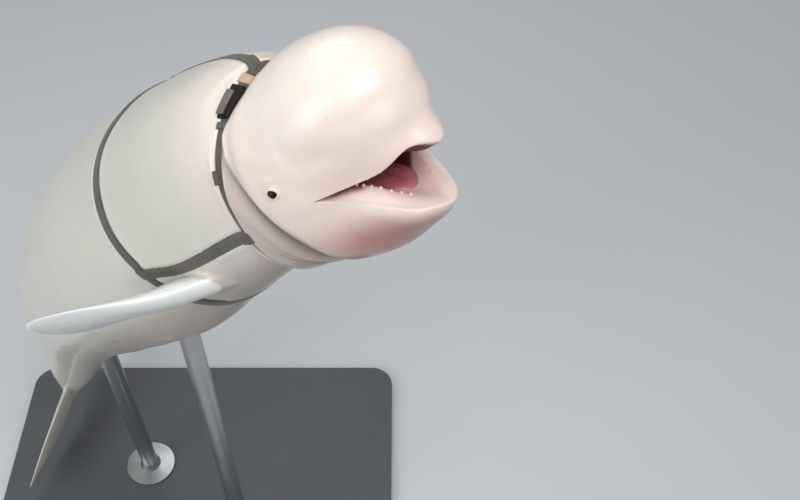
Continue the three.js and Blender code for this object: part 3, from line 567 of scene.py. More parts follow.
# Skin
def strap_press(s, theta, p):
    """How far the straps press the skin in, with the skin swelling beside them."""
    push = np.zeros_like(s)
    up = angle_up(p[:, 1], p[:, 2], s)
    for strap in (NECK_STRAP, GIRTH_STRAP):
        half = strap["width"] / 2
        off = s - strap_line(strap, p)
        cover = STRAP_COVER * smooth((52 - up) / 14) if strap is NECK_STRAP else 0 * up
        edge = off + half - cover
        push -= PRESS["belt"] * smooth((edge + 4) / 8) * smooth((half + 4 - off) / 8)
        push += PRESS["belt_side"] * bell(off - half - 9, 10)
        push += (PRESS["belt_side"] + 0.5 * cover) * smooth(-edge / 6) * bell(edge + 6, 16)
    for key in RUNNERS:
        start, end, first, last, ease = RUNNER_LINES[key]
        t = np.clip((s - start) / (end - start), 0, 1)
        turn = np.angle(np.exp(1j * (theta - mix(first, last, t**ease))))
        side = np.abs(turn) * np.linalg.norm(p - axis_point(s), axis=1)
        on = smooth((s - start) / 25) * smooth((end - s) / 25)
        push -= on * PRESS["runner"] * smooth((SIDE_STRAP_WIDTH / 2 + 3 - side) / 8)
        push += on * PRESS["runner_side"] * bell(side - SIDE_STRAP_WIDTH / 2 - 8, 9)
    return push


def neck_folds(s, p):
    """Fine folds beside the neck crease and under the chin."""
    up = angle_up(p[:, 1], p[:, 2], s)
    side = np.sign(p[:, 1])
    off = s - crease_value("station", up) - 3 * np.sin(up / 11 + side)
    low = smooth((25 - up) / 50)
    under = smooth((-up - 15) / 40)
    fold = -(4.0 + 6.0 * low) * bell(off - 3, 6)
    for share, table in ((low, LOW_FOLDS), (under, CHIN_FOLDS), (smooth((up - 45) / 30), TOP_FOLDS)):
        fold += share * sum(height * bell(off - at, wide) for at, height, wide in table)
    return fold


def crease_shade(s, p):
    """Painted shade: a darker band in the groove behind the jaw, reaching back to the neck strap."""
    up = angle_up(p[:, 1], p[:, 2], s)
    off = s - crease_value("station", up)
    low = smooth((15 - up) / 45)
    band = 0.5 * smooth((strap_line(NECK_STRAP, p) - s + 14) / 10) * smooth((60 - up) / 20)
    groove = (0.2 + 0.6 * low) * np.exp(-np.clip(off, 0, None) / (12 + 12 * low))
    return smooth((off + 4) / 6) * (band + groove)


# Shallow dents and swells of the head: station, side, height, half sizes along, across and up, and depth
HEAD_DENTS = (
    (262, 180, 92, 14, 90, 34, -3.0),
    (240, 170, 70, 12, 90, 44, -2.2),
    (188, 160, 58, 70, 90, 26, -5.0),
    (90, 135, 106, 64, 64, 32, -5.0),
    (38, 62, 118, 56, 60, 26, -4.5),
    (28, 58, 68, 48, 54, 26, 4.5),
    (300, 170, -40, 60, 90, 26, 4.0),
    (372, 190, 40, 26, 90, 60, -3.0),
    (330, 190, 62, 34, 90, 12, -2.0),
)


def head_dents(s, p):
    push = np.zeros_like(s)
    for at, side, height, long, across, tall, depth in HEAD_DENTS:
        far = ((s - at) / long) ** 2 + ((np.abs(p[:, 1]) - side) / across) ** 2
        push += depth * np.exp(-far - ((p[:, 2] - height) / tall) ** 2)
    return push


def swells(p):
    """Slow, low swelling of the fat under the skin."""
    x, y, z = p[..., 0] / 1000, p[..., 1] / 1000, p[..., 2] / 1000
    a = np.sin(7.1 * x + 3.3 * y + 1.3) * np.sin(6.3 * z - 2.9 * x + 0.7)
    b = np.sin(13.7 * x - 8.1 * z + 2.1) * np.sin(11.9 * y + 5.3 * x)
    return 2.2 * a + 1.1 * b


def row_station(row):
    """Stations of the rows behind the head: close over the chest, wider behind."""
    n = row - MOUTH_ROWS - HEAD_ROWS
    near = HEAD_END + n * CHEST_STEP
    rear = HEAD_END + CHEST_ROWS * CHEST_STEP
    share = (n - CHEST_ROWS) / (BODY_ROWS - CHEST_ROWS)
    return np.where(n <= CHEST_ROWS, near, rear + share * (TAIL_END - rear))


def mouth_depth(row):
    """Share of the way into the mouth of a row."""
    return 0.97 * np.clip(1 - row / MOUTH_ROWS, 0, 1) ** 1.5


def head_share(row):
    """Share of the way from the lips to the end of the head of a row."""
    return ((row - MOUTH_ROWS) / HEAD_ROWS) ** 1.25


def skin_layout(theta, row):
    """Places of the skin's grid on the straight animal."""
    p = np.zeros((len(row), 3))
    inner = (row > 0) & (row <= MOUTH_ROWS)
    p[inner] = mouth_point(theta[inner], mouth_depth(row[inner]))
    p[row == 0] = THROAT_END
    head = (row > MOUTH_ROWS) & (row <= MOUTH_ROWS + HEAD_ROWS)
    v = head_share(row[head])
    p[head] = head_point(theta[head], v)
    body = (row > MOUTH_ROWS + HEAD_ROWS) & (row < SKIN_ROWS)
    p[body] = skin_point(row_station(row[body]), theta[body])
    p[row == SKIN_ROWS] = axis_point(TAIL_END)
    outer = (row > MOUTH_ROWS) & (row < SKIN_ROWS - 1)
    po = p[outer]
    s = -po[:, 0]
    around = np.arctan2(po[:, 2] - axis_point(s)[:, 2], po[:, 1])
    e = 5.0
    grad = np.stack([field(po + step) - field(po - step) for step in np.eye(3) * e], -1)
    normal = unit(grad + 1e-9)
    push = strap_press(s, around, po)
    push += neck_folds(s, po) * smooth((s - 200) / 60)
    push += head_dents(s, po)
    push += swells(po) * smooth((s - 200) / 300) * smooth((4000 - s) / 500)
    p[outer] = po + normal * push[:, None]
    hold = np.where(np.sin(theta[head]) >= 0, 0.12, 0.35)
    p[head] += lip_shift(theta[head]) * (1 - smooth(v / hold))[:, None]
    return p


def build_skin_body():
    """Head, mouth and body in one grid, with the masks that its material reads."""
    masks = {}

    def build(theta, row):
        p = skin_layout(theta, row)
        u = mouth_depth(row)
        lower = np.sin(theta) < 0
        masks["mouth"] = np.where(lower, smooth((u - 0.04) / 0.14), smooth(u / 0.012))
        red = curve_value(RED_AT, RED_FROM, np.abs(lip_angle(theta)))
        # Red, shaded flesh deeper in the mouth; towards the corners it starts nearer the lip as painted shade
        # under the beak
        masks["deep"] = smooth((u - np.where(lower, red, 0.01)) / 0.06)
        # The roof of the mouth is all painted shadow under the beak
        masks["roof_shadow"] = np.where(lower, 0, smooth((u + 0.004) / 0.02))
        masks["lip"] = bell(np.maximum(row - MOUTH_ROWS, 0), 7) * (row >= MOUTH_ROWS - 3) * ~lower
        s = -p[:, 0]
        # The fold mask is painted shade: darker in the neck folds and in the groove behind the jaw
        fold = np.clip(-neck_folds(s, p) / 14 + crease_shade(s, p), 0, 1)
        masks["fold"] = np.where(row > MOUTH_ROWS, fold, 0)
        # Flush under the chin: a real reddish tint with painted shadow under the jaw, darker lower down and
        # towards the front
        chin = smooth((-70 - p[:, 2]) / 120) * (0.3 + 0.7 * smooth((400 - s) / 200))
        masks["flush"] = chin * smooth((row - MOUTH_ROWS - 8) / 30)
        masks["station"] = s / 1000
        masks["height"] = p[:, 2] / 1000
        return place(p)

    ob, theta, row = sphere_grid("whale_skin", SKIN_COLUMNS, SKIN_ROWS, build)
    smooth_verts(ob, np.abs(row - MOUTH_ROWS) <= 3, 0.5, 6)
    smooth_verts(ob, (np.abs(row - MOUTH_ROWS) <= 7) & (np.sin(theta) < -0.12), 0.5, 16)
    face_out(ob)
    for name, values in masks.items():
        attribute(ob, name, values)
    return ob


def flipper_frame(side):
    """Root of a flipper and its fore, outward and upper directions, posed."""
    sign = 1 if side == "left" else -1
    forward, down, twist = FLIPPER_AIM[side]
    out = unit(np.array([forward, sign, -down]))
    fore = unit(np.array([1.0, 0, 0]) - out * out[0])
    over = unit(np.cross(fore, out)) * sign
    tw = math.radians(twist)
    fore, over = fore * math.cos(tw) + over * math.sin(tw), over * math.cos(tw) - fore * math.sin(tw)
    nose, left, up = frame_at(FLIPPER["station"])
    angle = math.radians(-25 if side == "left" else 205)
    root = bend(skin_point(FLIPPER["station"], angle))
    return (root, *(nose * v[0] + left * v[1] + up * v[2] for v in (fore, out, over)))


def build_flipper(side):
    inset = 90.0
    span, chord_full = FLIPPER["span"], FLIPPER["chord"]
    rows = 60
    root, X, Y, Z = flipper_frame(side)

    def build(theta, row):
        t = row / rows
        out = -inset + (span + inset + 2) * t
        along = np.clip(out / span, 0, 1)
        tip = np.sqrt(np.maximum(0, 1 - along**5))
        chord = chord_full * mix(0.72, 1, smooth(along / 0.5)) * np.maximum(tip, 0.04)
        thick = mix(78, 16, smooth(along / 0.95)) * np.maximum(np.sqrt(tip), 0.12)
        sweep = -60 * along - 40 * along**2
        curl = 55 * along**3
        cx = np.cos(theta)
        thin = 1 - 0.35 * np.clip(-cx, 0, 1)
        pole = (row == 0) | (row == rows)
        half = np.where(pole, 0, chord / 2)
        height = np.where(pole, 0, thick / 2)
        wave = 3 * np.sin(along * 9 + 1) * smooth(-cx) * along
        turn = np.radians(FLIPPER["turn"]) * smooth((along - 0.2) / 0.6)
        flat, deep = half * cx, height * np.sin(theta) * thin
        x = sweep + wave + flat * np.cos(turn) - deep * np.sin(turn)
        z = curl + flat * np.sin(turn) + deep * np.cos(turn)
        p = root + X * x[:, None] + Y * out[:, None] + Z * z[:, None]
        return world(p)

    ob = sphere_grid(f"flipper_{side}_form", 48, rows, build)[0]
    face_out(ob)
    return ob


def build_flukes():
    rows = 130

    def build(theta, row):
        t = -1 + 2 * row / rows
        a = np.abs(t)
        y = FLUKE_HALF_SPAN * t
        lead = mix(-3775, -4120, a**1.15) - 25 * a**6
        trail = -4165 - 70 * np.sin(np.pi * a**0.75) - 10 * a + 45 * bell(a, 0.07)
        tip = np.sqrt(np.maximum(0, 1 - a**8))
        pole = (row == 0) | (row == rows)
        half = np.where(pole, 0, np.maximum((lead - trail) / 2 * np.maximum(tip, 0.05), 3))
        thick = np.where(pole, 0, mix(62, 14, a**0.7) * np.maximum(tip, 0.2))
        cx = np.cos(theta)
        thin = 1 - 0.55 * np.clip(-cx, 0, 1)
        x = (lead + trail) / 2 + half * cx
        z = axis_point(4090)[2] + 12 * a * a + thick / 2 * np.sin(theta) * thin
        return place(np.stack([x, y, z], -1))

    ob = sphere_grid("flukes_form", 40, rows, build)[0]
    face_out(ob)
    return ob


# Masks that end at the body, and those that run on over the flippers and flukes
HEAD_MASKS = ("mouth", "deep", "roof_shadow", "lip", "fold", "flush")
BODY_MASKS = ("station", "height")


def carry_masks(ob, before, masks):
    """Gives each point of a joined mesh the masks of the nearest point of the mesh before it."""
    tree = kdtree.KDTree(len(before))
    for i, c in enumerate(before):
        tree.insert(c, i)
    tree.balance()
    co = coords(ob)
    nearest = np.array([tree.find(c)[1] for c in co])
    far = np.linalg.norm(co - before[nearest], axis=1) > 0.02
    # Flippers are marked for whitening: painted light standing in for the light on their upper faces
    attribute(ob, "limb_painted_light", far * (co[:, 2] > LIMB_FLOOR))
    for name, values in masks.items():
        out = values[nearest]
        attribute(ob, name, out if name in BODY_MASKS else np.where(far, 0.0, out))


def read_attribute(ob, name):
    values = np.zeros(len(ob.data.vertices), np.float32)
    ob.data.attributes[name].data.foreach_get("value", values)
    return values


def local_frame(p, directions):
    """Scene place of a point and posed directions at it."""
    return place(p), np.array([bend(p + v) - bend(p) for v in directions])


def to_local(co, centre, axes):
    return ((co - centre) * 1000) @ axes.T


def refine(ob, centre, reach_mm, cuts):
    """Divides the faces near a place."""
    select_verts(ob, np.linalg.norm(coords(ob) - centre, axis=1) < reach_mm / 1000)
    edit(ob)
    bpy.ops.mesh.select_mode(type="FACE")
    bpy.ops.mesh.subdivide(number_cuts=cuts, smoothness=0)
    leave()


def lid_shape(ob):
    """Refines the skin round each eye and shapes the lids and the opening."""
    for sign in (1, -1):
        p, along, tall, n = eye_frame(sign)
        centre, axes = local_frame(p, (along, tall, n))
        refine(ob, centre, 58, 1)
        refine(ob, centre, 34, 1)
        r = np.linalg.norm(to_local(coords(ob), centre, axes), axis=1)
        smooth_verts(ob, (r < 62) & (r > 2), 0.5, 3)
        co = coords(ob)
        local = to_local(co, centre, axes)
        near = np.linalg.norm(local, axis=1) < 70
        x, y, z = local[:, 0], local[:, 1], local[:, 2]
        lx = x / (EYE["long"] / 2 * LID["long"])
        ly = y / (EYE["tall"] / 2 * LID["tall"])
        e = np.sqrt(lx**2 + ly**2)
        mound = LID["mound"] * np.exp(-((x / 26) ** 2 + ((y - 2) / 20) ** 2))
        rim = LID["rim"] * bell(e - 1.25, 0.28)
        groove = -1.3 * bell(e - 1.95, 0.3) - 0.9 * bell(e - 2.7, 0.35)
        ball = np.sqrt(np.maximum(EYE["radius"] ** 2 - x**2 - y**2, 0)) - EYE["sunk"]
        sink = smooth((1.06 - e) / 0.22)
        new_z = z + (mound + rim + groove)
        new_z = np.where(e < 1.1, mix(new_z, np.minimum(new_z, ball - 5), sink), new_z)
        delta = (new_z - z) * near
        co += delta[:, None] * axes[2] / 1000
        set_coords(ob, co)


def blowhole_shape(ob):
    """Refines the skin on top of the head and sinks the curved slit of the blowhole."""
    centre, axes = local_frame(skin_point(BLOWHOLE["station"], math.pi / 2), np.eye(3))
    refine(ob, centre, 52, 2)
    co = coords(ob)
    local = to_local(co, centre, axes)
    near = np.linalg.norm(local, axis=1) < 90
    x, y = local[:, 0] + BLOWHOLE["ahead"], local[:, 1]
    r = np.hypot(x, y)
    ang = np.arctan2(y, x)
    arc = smooth((math.radians(BLOWHOLE["arc"]) - np.abs(ang)) / math.radians(14))
    slit = -BLOWHOLE["slit"] * bell(r - BLOWHOLE["radius"], 3.0) * arc
    lips = BLOWHOLE["lips"] * bell(r - BLOWHOLE["radius"], 13) * arc
    co += ((slit + lips) * near)[:, None] * axes[2] / 1000
    set_coords(ob, co)


# Shader groups
def new_group(name, control, scale, amount):
    """Group that makes a mask from a vector, a scale and one more control."""
    tree = bpy.data.node_groups.new(name, "ShaderNodeTree")
    tree.interface.new_socket(name="Vector", in_out="INPUT", socket_type="NodeSocketVector")
    for label, default in (("Scale", scale), (control, amount)):
        socket = tree.interface.new_socket(name=label, in_out="INPUT", socket_type="NodeSocketFloat")
        socket.default_value = default
    tree.interface.new_socket(name="Mask", in_out="OUTPUT", socket_type="NodeSocketFloat")
    return tree, tree.nodes.new("NodeGroupInput"), tree.nodes.new("NodeGroupOutput"), Builder(tree)


class Builder:
    """Short calls for laying out shader nodes."""

    def __init__(self, tree):
        self.tree = tree

    def node(self, kind, **settings):
        n = self.tree.nodes.new(kind)
        inputs = settings.pop("inputs", {})
        for key, value in settings.items():
            setattr(n, key, value)
        for key, value in inputs.items():
            socket = n.inputs[key]
            if isinstance(value, bpy.types.NodeSocket):
                self.tree.links.new(value, socket)
            else:
                socket.default_value = value
        return n

    def noise(self, vector, scale, detail=3.0, rough=0.5):
        inputs = {"Vector": vector, "Scale": scale, "Detail": detail, "Roughness": rough}
        return self.node("ShaderNodeTexNoise", inputs=inputs).outputs["Fac"]

    def ramp(self, value, low, high, to_low=0.0, to_high=1.0):
        inputs = {"Value": value, "From Min": low, "From Max": high, "To Min": to_low, "To Max": to_high}
        return self.node("ShaderNodeMapRange", inputs=inputs).outputs["Result"]

    def grouped(self, name, **inputs):
        return self.node("ShaderNodeGroup", node_tree=group(name), inputs=inputs).outputs[0]

    def attr(self, name):
        return self.node("ShaderNodeAttribute", attribute_name=name).outputs["Fac"]

    def bump(self, strength, distance, height):
        inputs = {"Strength": strength, "Distance": distance, "Height": height}
        return self.node("ShaderNodeBump", inputs=inputs).outputs[0]

    def math(self, op, a, b=0.0):
        return self.node("ShaderNodeMath", operation=op, inputs={0: a, 1: b}).outputs[0]

    def add(self, a, b):
        return self.math("ADD", a, b)

    def sub(self, a, b):
        return self.math("SUBTRACT", a, b)

    def mul(self, a, b):
        return self.math("MULTIPLY", a, b)

    def mix(self, fac, a, b):
        """Mix of two colours: 0, 6 and 7 are the colour sockets of the node."""
        return self.node("ShaderNodeMix", data_type="RGBA", inputs={0: fac, 6: a, 7: b}).outputs[2]

    def link(self, a, b):
        self.tree.links.new(a, b)


def group_mottle():
    """Uneven colour of living or worn matter: a large and a small noise in one mask."""
    tree, gin, gout, b = new_group("mottle", "Contrast", 4.0, 0.2)
    v, scale = gin.outputs["Vector"], gin.outputs["Scale"]
    big = b.noise(v, scale, 2.0, 0.5)
    small = b.noise(v, b.mul(scale, 5.3), 4.0, 0.6)
    total = b.add(b.mul(big, 0.65), b.mul(small, 0.35))
    low = b.sub(0.5, gin.outputs["Contrast"])
    high = b.add(0.5, gin.outputs["Contrast"])
    b.link(b.ramp(total, low, high), gout.inputs["Mask"])
    return tree


def group_scratches():
    """Sparse thin marks, longer one way than the other."""
    tree, gin, gout, b = new_group("scratches", "Amount", 20.0, 0.5)
    v = gin.outputs["Vector"]
    warp = b.noise(v, 3.0, 2.0)
    sway = b.node("ShaderNodeCombineXYZ", inputs={"X": warp, "Y": warp, "Z": warp}).outputs[0]
    shifted = b.node("ShaderNodeVectorMath", operation="ADD", inputs={0: v, 1: sway}).outputs[0]
    turn = {"Vector": shifted, "Scale": (1.0, 7.0, 2.0), "Rotation": (0.3, 0.5, 0.7)}
    stretch = b.node("ShaderNodeMapping", inputs=turn).outputs[0]
    lines = b.noise(stretch, gin.outputs["Scale"], 2.0, 0.4)
    ridge = b.math("ABSOLUTE", b.sub(lines, 0.5))
    thin = b.ramp(ridge, 0.0, 0.012, 1.0, 0.0)
    where = b.ramp(b.noise(v, 5.0, 2.0), 0.52, 0.62)
    b.link(b.mul(b.mul(thin, where), gin.outputs["Amount"]), gout.inputs["Mask"])
    return tree


GROUPS = {}
GROUP_MAKERS = {"mottle": group_mottle, "scratches": group_scratches}


def group(name):
    if name not in GROUPS:
        GROUPS[name] = GROUP_MAKERS[name]()
    return GROUPS[name]


def new_material(name):
    """A material with one shader, a builder for its nodes and its Object coordinates."""
    m = bpy.data.materials.new(name)
    m.use_nodes = True
    m.node_tree.nodes.clear()
    b = Builder(m.node_tree)
    shader = b.node("ShaderNodeBsdfPrincipled")
    out = b.node("ShaderNodeOutputMaterial")
    b.link(shader.outputs[0], out.inputs["Surface"])
    coord = b.node("ShaderNodeTexCoord").outputs["Object"]
    return m, b, shader, coord


def rgba(c):
    return (c[0], c[1], c[2], 1.0)


def skin_material(look):
    """Skin from head to tail, with the inside of the mouth."""
    m, b, shader, coord = new_material("whale_skin")
    large = b.grouped("mottle", Vector=coord, Scale=2.6, Contrast=0.16)
    fine = b.grouped("mottle", Vector=coord, Scale=16.0, Contrast=0.2)
    station = b.attr("station")
    # Cream comes in by a large mottle and by height: the head turns creamier and darker lower down
    side = b.mul(b.ramp(b.attr("height"), 0.2, 0.02), b.ramp(station, 0.55, 0.38))
    cream = b.add(b.mul(large, 0.5), b.mul(side, 0.5))
    colour = b.mix(cream, rgba(look.skin_light), rgba(look.skin_cream))
    colour = b.mix(b.mul(fine, 0.25), colour, rgba(look.skin_pink))
    rear = b.ramp(station, 0.42, 0.62)
    body = b.mix(b.mul(large, 0.6), rgba(look.skin_body), rgba(look.skin_moss))
    colour = b.mix(b.mul(rear, 0.8), colour, body)
    # Reddish flush with painted shadow under the jaw
    colour = b.mix(b.attr("flush"), colour, rgba(look.skin_flush))
    # Painted light: the flippers whitened
    colour = b.mix(b.attr("limb_painted_light"), colour, rgba(look.limb_painted_light_white))
    colour = b.mix(b.mul(b.attr("lip"), 0.35), colour, rgba(look.lip_pink))
    # Painted shade in the folds and in the groove behind the jaw
    colour = b.mix(b.mul(b.attr("fold"), 0.85), colour, rgba(look.fold_shade_and_scar_grey))
    marks = b.mul(b.grouped("scratches", Vector=coord, Scale=16.0, Amount=0.07), rear)
    colour = b.mix(marks, colour, rgba(look.fold_shade_and_scar_grey))
    roof_shadow = b.attr("roof_shadow")
    # Mouth flesh mottled towards painted shade; the roof all painted shadow under the beak
    flesh = b.mix(fine, rgba(look.mouth_red), rgba(look.mouth_shade))
    flesh = b.mix(roof_shadow, flesh, rgba(look.mouth_shade))
    gum = b.mix(b.attr("deep"), b.mix(large, rgba(look.gum_pale), rgba(look.lip_pink)), flesh)
    b.link(b.mix(b.attr("mouth"), colour, gum), shader.inputs["Base Color"])
    b.link(b.ramp(fine, 0.0, 1.0, 0.26, 0.4), shader.inputs["Roughness"])
    b.link(b.ramp(roof_shadow, 0.0, 1.0, 0.45, 0.0), shader.inputs["Coat Weight"])
    b.link(b.ramp(roof_shadow, 0.0, 1.0, 0.5, 0.1), shader.inputs["Specular IOR Level"])
    shader.inputs["Coat Roughness"].default_value = 0.16
    shader.inputs["Subsurface Weight"].default_value = 0.12
    shader.inputs["Subsurface Radius"].default_value = (0.02, 0.008, 0.005)
    shader.inputs["Subsurface Scale"].default_value = 0.5
    tiny = b.noise(coord, 90.0, 5.0, 0.6)
    wide = b.noise(coord, 22.0, 3.0, 0.5)
    grain = b.sub(b.add(b.mul(tiny, 0.25), b.mul(wide, 0.75)), b.mul(marks, 0.4))
    b.link(b.bump(0.22, 0.004, grain), shader.inputs["Normal"])
    return m


def plain_material(name, base, other, rough, metallic=0.0, scale=12.0, coat=0.0, bump=0.0, gloss=0.5):
    """Two colours and a range of roughness, mottled."""
    m, b, shader, coord = new_material(name)
    mask = b.grouped("mottle", Vector=coord, Scale=scale, Contrast=0.25)
    b.link(b.mix(mask, rgba(base), rgba(other)), shader.inputs["Base Color"])
    b.link(b.ramp(mask, 0.0, 1.0, rough[0], rough[1]), shader.inputs["Roughness"])
    shader.inputs["Metallic"].default_value = metallic
    shader.inputs["Specular IOR Level"].default_value = gloss
    shader.inputs["Coat Weight"].default_value = coat
    if bump:
        b.link(b.bump(bump, 0.002, b.noise(coord, scale * 12, 3.0, 0.6)), shader.inputs["Normal"])
    return m


# Rib, cord and stitch lengths of the webbing, and the stitch line's place and edges from the middle
WEAVE = {"rib": 0.0028, "cord": 0.0045, "stitch": 0.007, "line": 0.011, "thin": 0.0006, "wide": 0.0012}


def webbing_material(look):
    """Woven strap with a stitch line along each edge, from its UV map in metres."""
    m, b, shader, coord = new_material("harness_webbing")
    uv = b.node("ShaderNodeUVMap", uv_map="weave").outputs[0]
    split = b.node("ShaderNodeSeparateXYZ", inputs={0: uv})
    u, v = split.outputs[0], split.outputs[1]
    ribs, cords, dashes = (
        b.math("SINE", b.mul(way, 2 * math.pi / WEAVE[key]))
        for way, key in ((u, "rib"), (v, "cord"), (u, "stitch"))
    )
    weave = b.mul(b.add(b.mul(ribs, cords), 1.0), 0.5)
    mask = b.grouped("mottle", Vector=coord, Scale=9.0, Contrast=0.22)
    colour = b.mix(mask, rgba(look.webbing_dark), rgba(look.webbing_worn))
    colour = b.mix(b.mul(weave, 0.4), colour, rgba(look.webbing_worn))
    off = b.math("ABSOLUTE", b.sub(b.math("ABSOLUTE", v), WEAVE["line"]))
    line = b.ramp(off, WEAVE["thin"], WEAVE["wide"], 1.0, 0.0)
    stitch = b.mul(line, b.ramp(dashes, -0.2, 0.1))
    colour = b.mix(b.mul(stitch, 0.7), colour, rgba(look.thread))
    b.link(colour, shader.inputs["Base Color"])
    b.link(b.ramp(mask, 0, 1, 0.62, 0.85), shader.inputs["Roughness"])
    shader.inputs["Sheen Weight"].default_value = 0.15
    b.link(b.bump(0.6, 0.0008, b.add(weave, b.mul(stitch, 0.8))), shader.inputs["Normal"])
    return m


# Straps
def strip_sections(centre_fn, count, closed, width, low, high, steps=8):
    """Cross-sections of a flat strap with rounded edges, lying on the skin; also length and width places."""
    across = np.linspace(-0.5, 0.5, steps + 1)
    top = [(a, 1.0 - 0.35 * max(0, abs(a) * 2 - 0.8) / 0.2) for a in across]
    bottom = [(a, 0.0) for a in across[::-1]]
    profile = top + bottom
    t = np.linspace(0, 1, count, endpoint=not closed)
    rings = []
    for a, h in profile:
        s, theta = centre_fn(t, a * width)
        rings.append(skin_point(s, theta, mix(low, high, h)))
    return np.stack(rings, 1), profile


def run_mesh(name, sections, closed, profile, width):
    """A strap bridged from its cross-sections, with its length and width as a UV map in metres."""
    n, k, _ = sections.shape
    pts = sections.reshape(-1, 3)
    faces = []
    for r in range(n if closed else n - 1):
        for c in range(k):
            a, d = r * k + c, r * k + (c + 1) % k
            e, f = ((r + 1) % n) * k + (c + 1) % k, ((r + 1) % n) * k + c
            faces.append((a, d, e, f))
    if not closed:
        faces.append(tuple(range(k))[::-1])
        faces.append(tuple((n - 1) * k + c for c in range(k)))
    mesh = bpy.data.meshes.new(name)
    mesh.from_pydata([tuple(p) for p in pts], [], faces)
    ob = bpy.data.objects.new(name, mesh)
    bpy.context.scene.collection.objects.link(ob)
    steps = np.linalg.norm(np.diff(sections[:, 0], axis=0), axis=1)
    length = np.concatenate([[0], np.cumsum(steps)])
    uv = mesh.uv_layers.new(name="weave")
    vs = np.array([a * width / 1000 for a, _ in profile])
    loop_v = np.zeros(len(mesh.loops), int)
    mesh.loops.foreach_get("vertex_index", loop_v)
    u = length[loop_v // k]
    if closed:
        last_ring = np.arange(len(mesh.loops)) >= 4 * (n - 1) * k
        step = np.linalg.norm(pts[(n - 1) * k] - pts[0])
        u = np.where(last_ring & (loop_v // k == 0), length[-1] + step, u)
    uv.data.foreach_set("uv", np.stack([u, vs[loop_v % k]], -1).astype(np.float32).ravel())
    face_out(ob)
    return ob


def build_belt(name, strap, lift):
    """A strap right round the body."""
    def centre(t, off):
        theta = 2 * np.pi * t
        return belt_station(strap, theta) - off, theta

    sections, profile = strip_sections(centre, 260, True, strap["width"], -5, lift)
    return run_mesh(name, place(sections), True, profile, strap["width"])


def build_runner(name, key, lift):
    """A strap along one side, raised over the belts at its ends."""
    start, end, first, last, ease = RUNNER_LINES[key]

    def centre(t, off):
        s = mix(start, end, t)
        theta = mix(first, last, t**ease)
        r = np.linalg.norm(skin_point(s, theta) - axis_point(s), axis=-1)
        return s, theta + off / r

    count = 120
    sections, profile = strip_sections(centre, count, False, SIDE_STRAP_WIDTH, -4, lift)
    t = np.linspace(0, 1, count)
    hump = 6.0 * np.maximum(smooth((0.1 - t) / 0.03), smooth((t - 0.9) / 0.03))
    out = sections - axis_point(-sections[..., 0])
    raised = sections + unit(out) * hump[:, None, None]
    return run_mesh(name, place(raised), False, profile, SIDE_STRAP_WIDTH)


def build_plate(name, angles, shift, width, low, high, count, edge):
    """A plate or loop on the neck strap between two angles in degrees, with softened edges."""
    def centre(t, off):
        theta = np.radians(mix(*angles, t))
        return belt_station(NECK_STRAP, theta) + shift - off, theta

    sections, profile = strip_sections(centre, count, False, width, low, high, 10)
    ob = run_mesh(name, place(sections), False, profile, width)
    soften_edges(ob, edge)
    return ob


# Teeth and eyes
def build_tooth(upper, sign, i):
    """One worn peg, seated on the gum of the upper or lower jaw, counted from the corner of the mouth."""
    off = math.radians(mix(TEETH["first"], TEETH["last"], i / (TEETH["count"] - 1)))
    theta = off if sign > 0 else math.pi - off
    seat = mouth_point(theta if upper else -theta, GUM_PLACE * 0.95)
    lean = 0 if upper else GAPE
    axis = unit(np.array([math.sin(lean), 0, math.cos(lean)]) * (-1 if upper else 1))
    shown = PEG["upper" if upper else "lower"] + PEG["uneven"] * math.sin(3.1 * i + (2 if upper else 0))
    deselect()
    bpy.ops.mesh.primitive_uv_sphere_add(segments=12, ring_count=10, radius=1)
    ob = bpy.context.object
    co = coords(ob)
    side = unit(np.cross(axis, [1.0, 0, 0]))
    fore = np.cross(side, axis)
    peg = np.sign(co[:, 2]) * np.abs(co[:, 2]) ** 0.7
    r = PEG["half"] * (1 - 0.18 * np.clip(peg, 0, 1))
    local = seat + fore * (co[:, 0] * r)[:, None] + side * (co[:, 1] * r)[:, None]
    set_coords(ob, place(local + axis * (peg * np.where(peg > 0, shown, PEG["root"]))[:, None]))
    return ob


def build_eye(name, sign):
    """A ball with a low bulge of the cornea, behind the lids."""
    rows = 40
    p, along, tall, n = eye_frame(sign)
    centre = p - n * EYE["sunk"]

    def build(theta, row):
        ang = np.pi * row / rows
        r = EYE["radius"] + EYE["bulge"] * bell(ang, 0.42)
        x, y, z = (r * way for way in (np.sin(ang) * np.cos(theta), np.sin(ang) * np.sin(theta), np.cos(ang)))
        return place(centre + along * x[:, None] + tall * y[:, None] + n * z[:, None])

    ob = sphere_grid(name, 40, rows, build)[0]
    face_out(ob)
    shade(ob)
    return ob


# Properties
def colour(name, description, *value):
    return bpy.props.FloatVectorProperty(
        name=name, description=description, default=value, subtype="COLOR", size=3, min=0.0, max=1.0,
    )


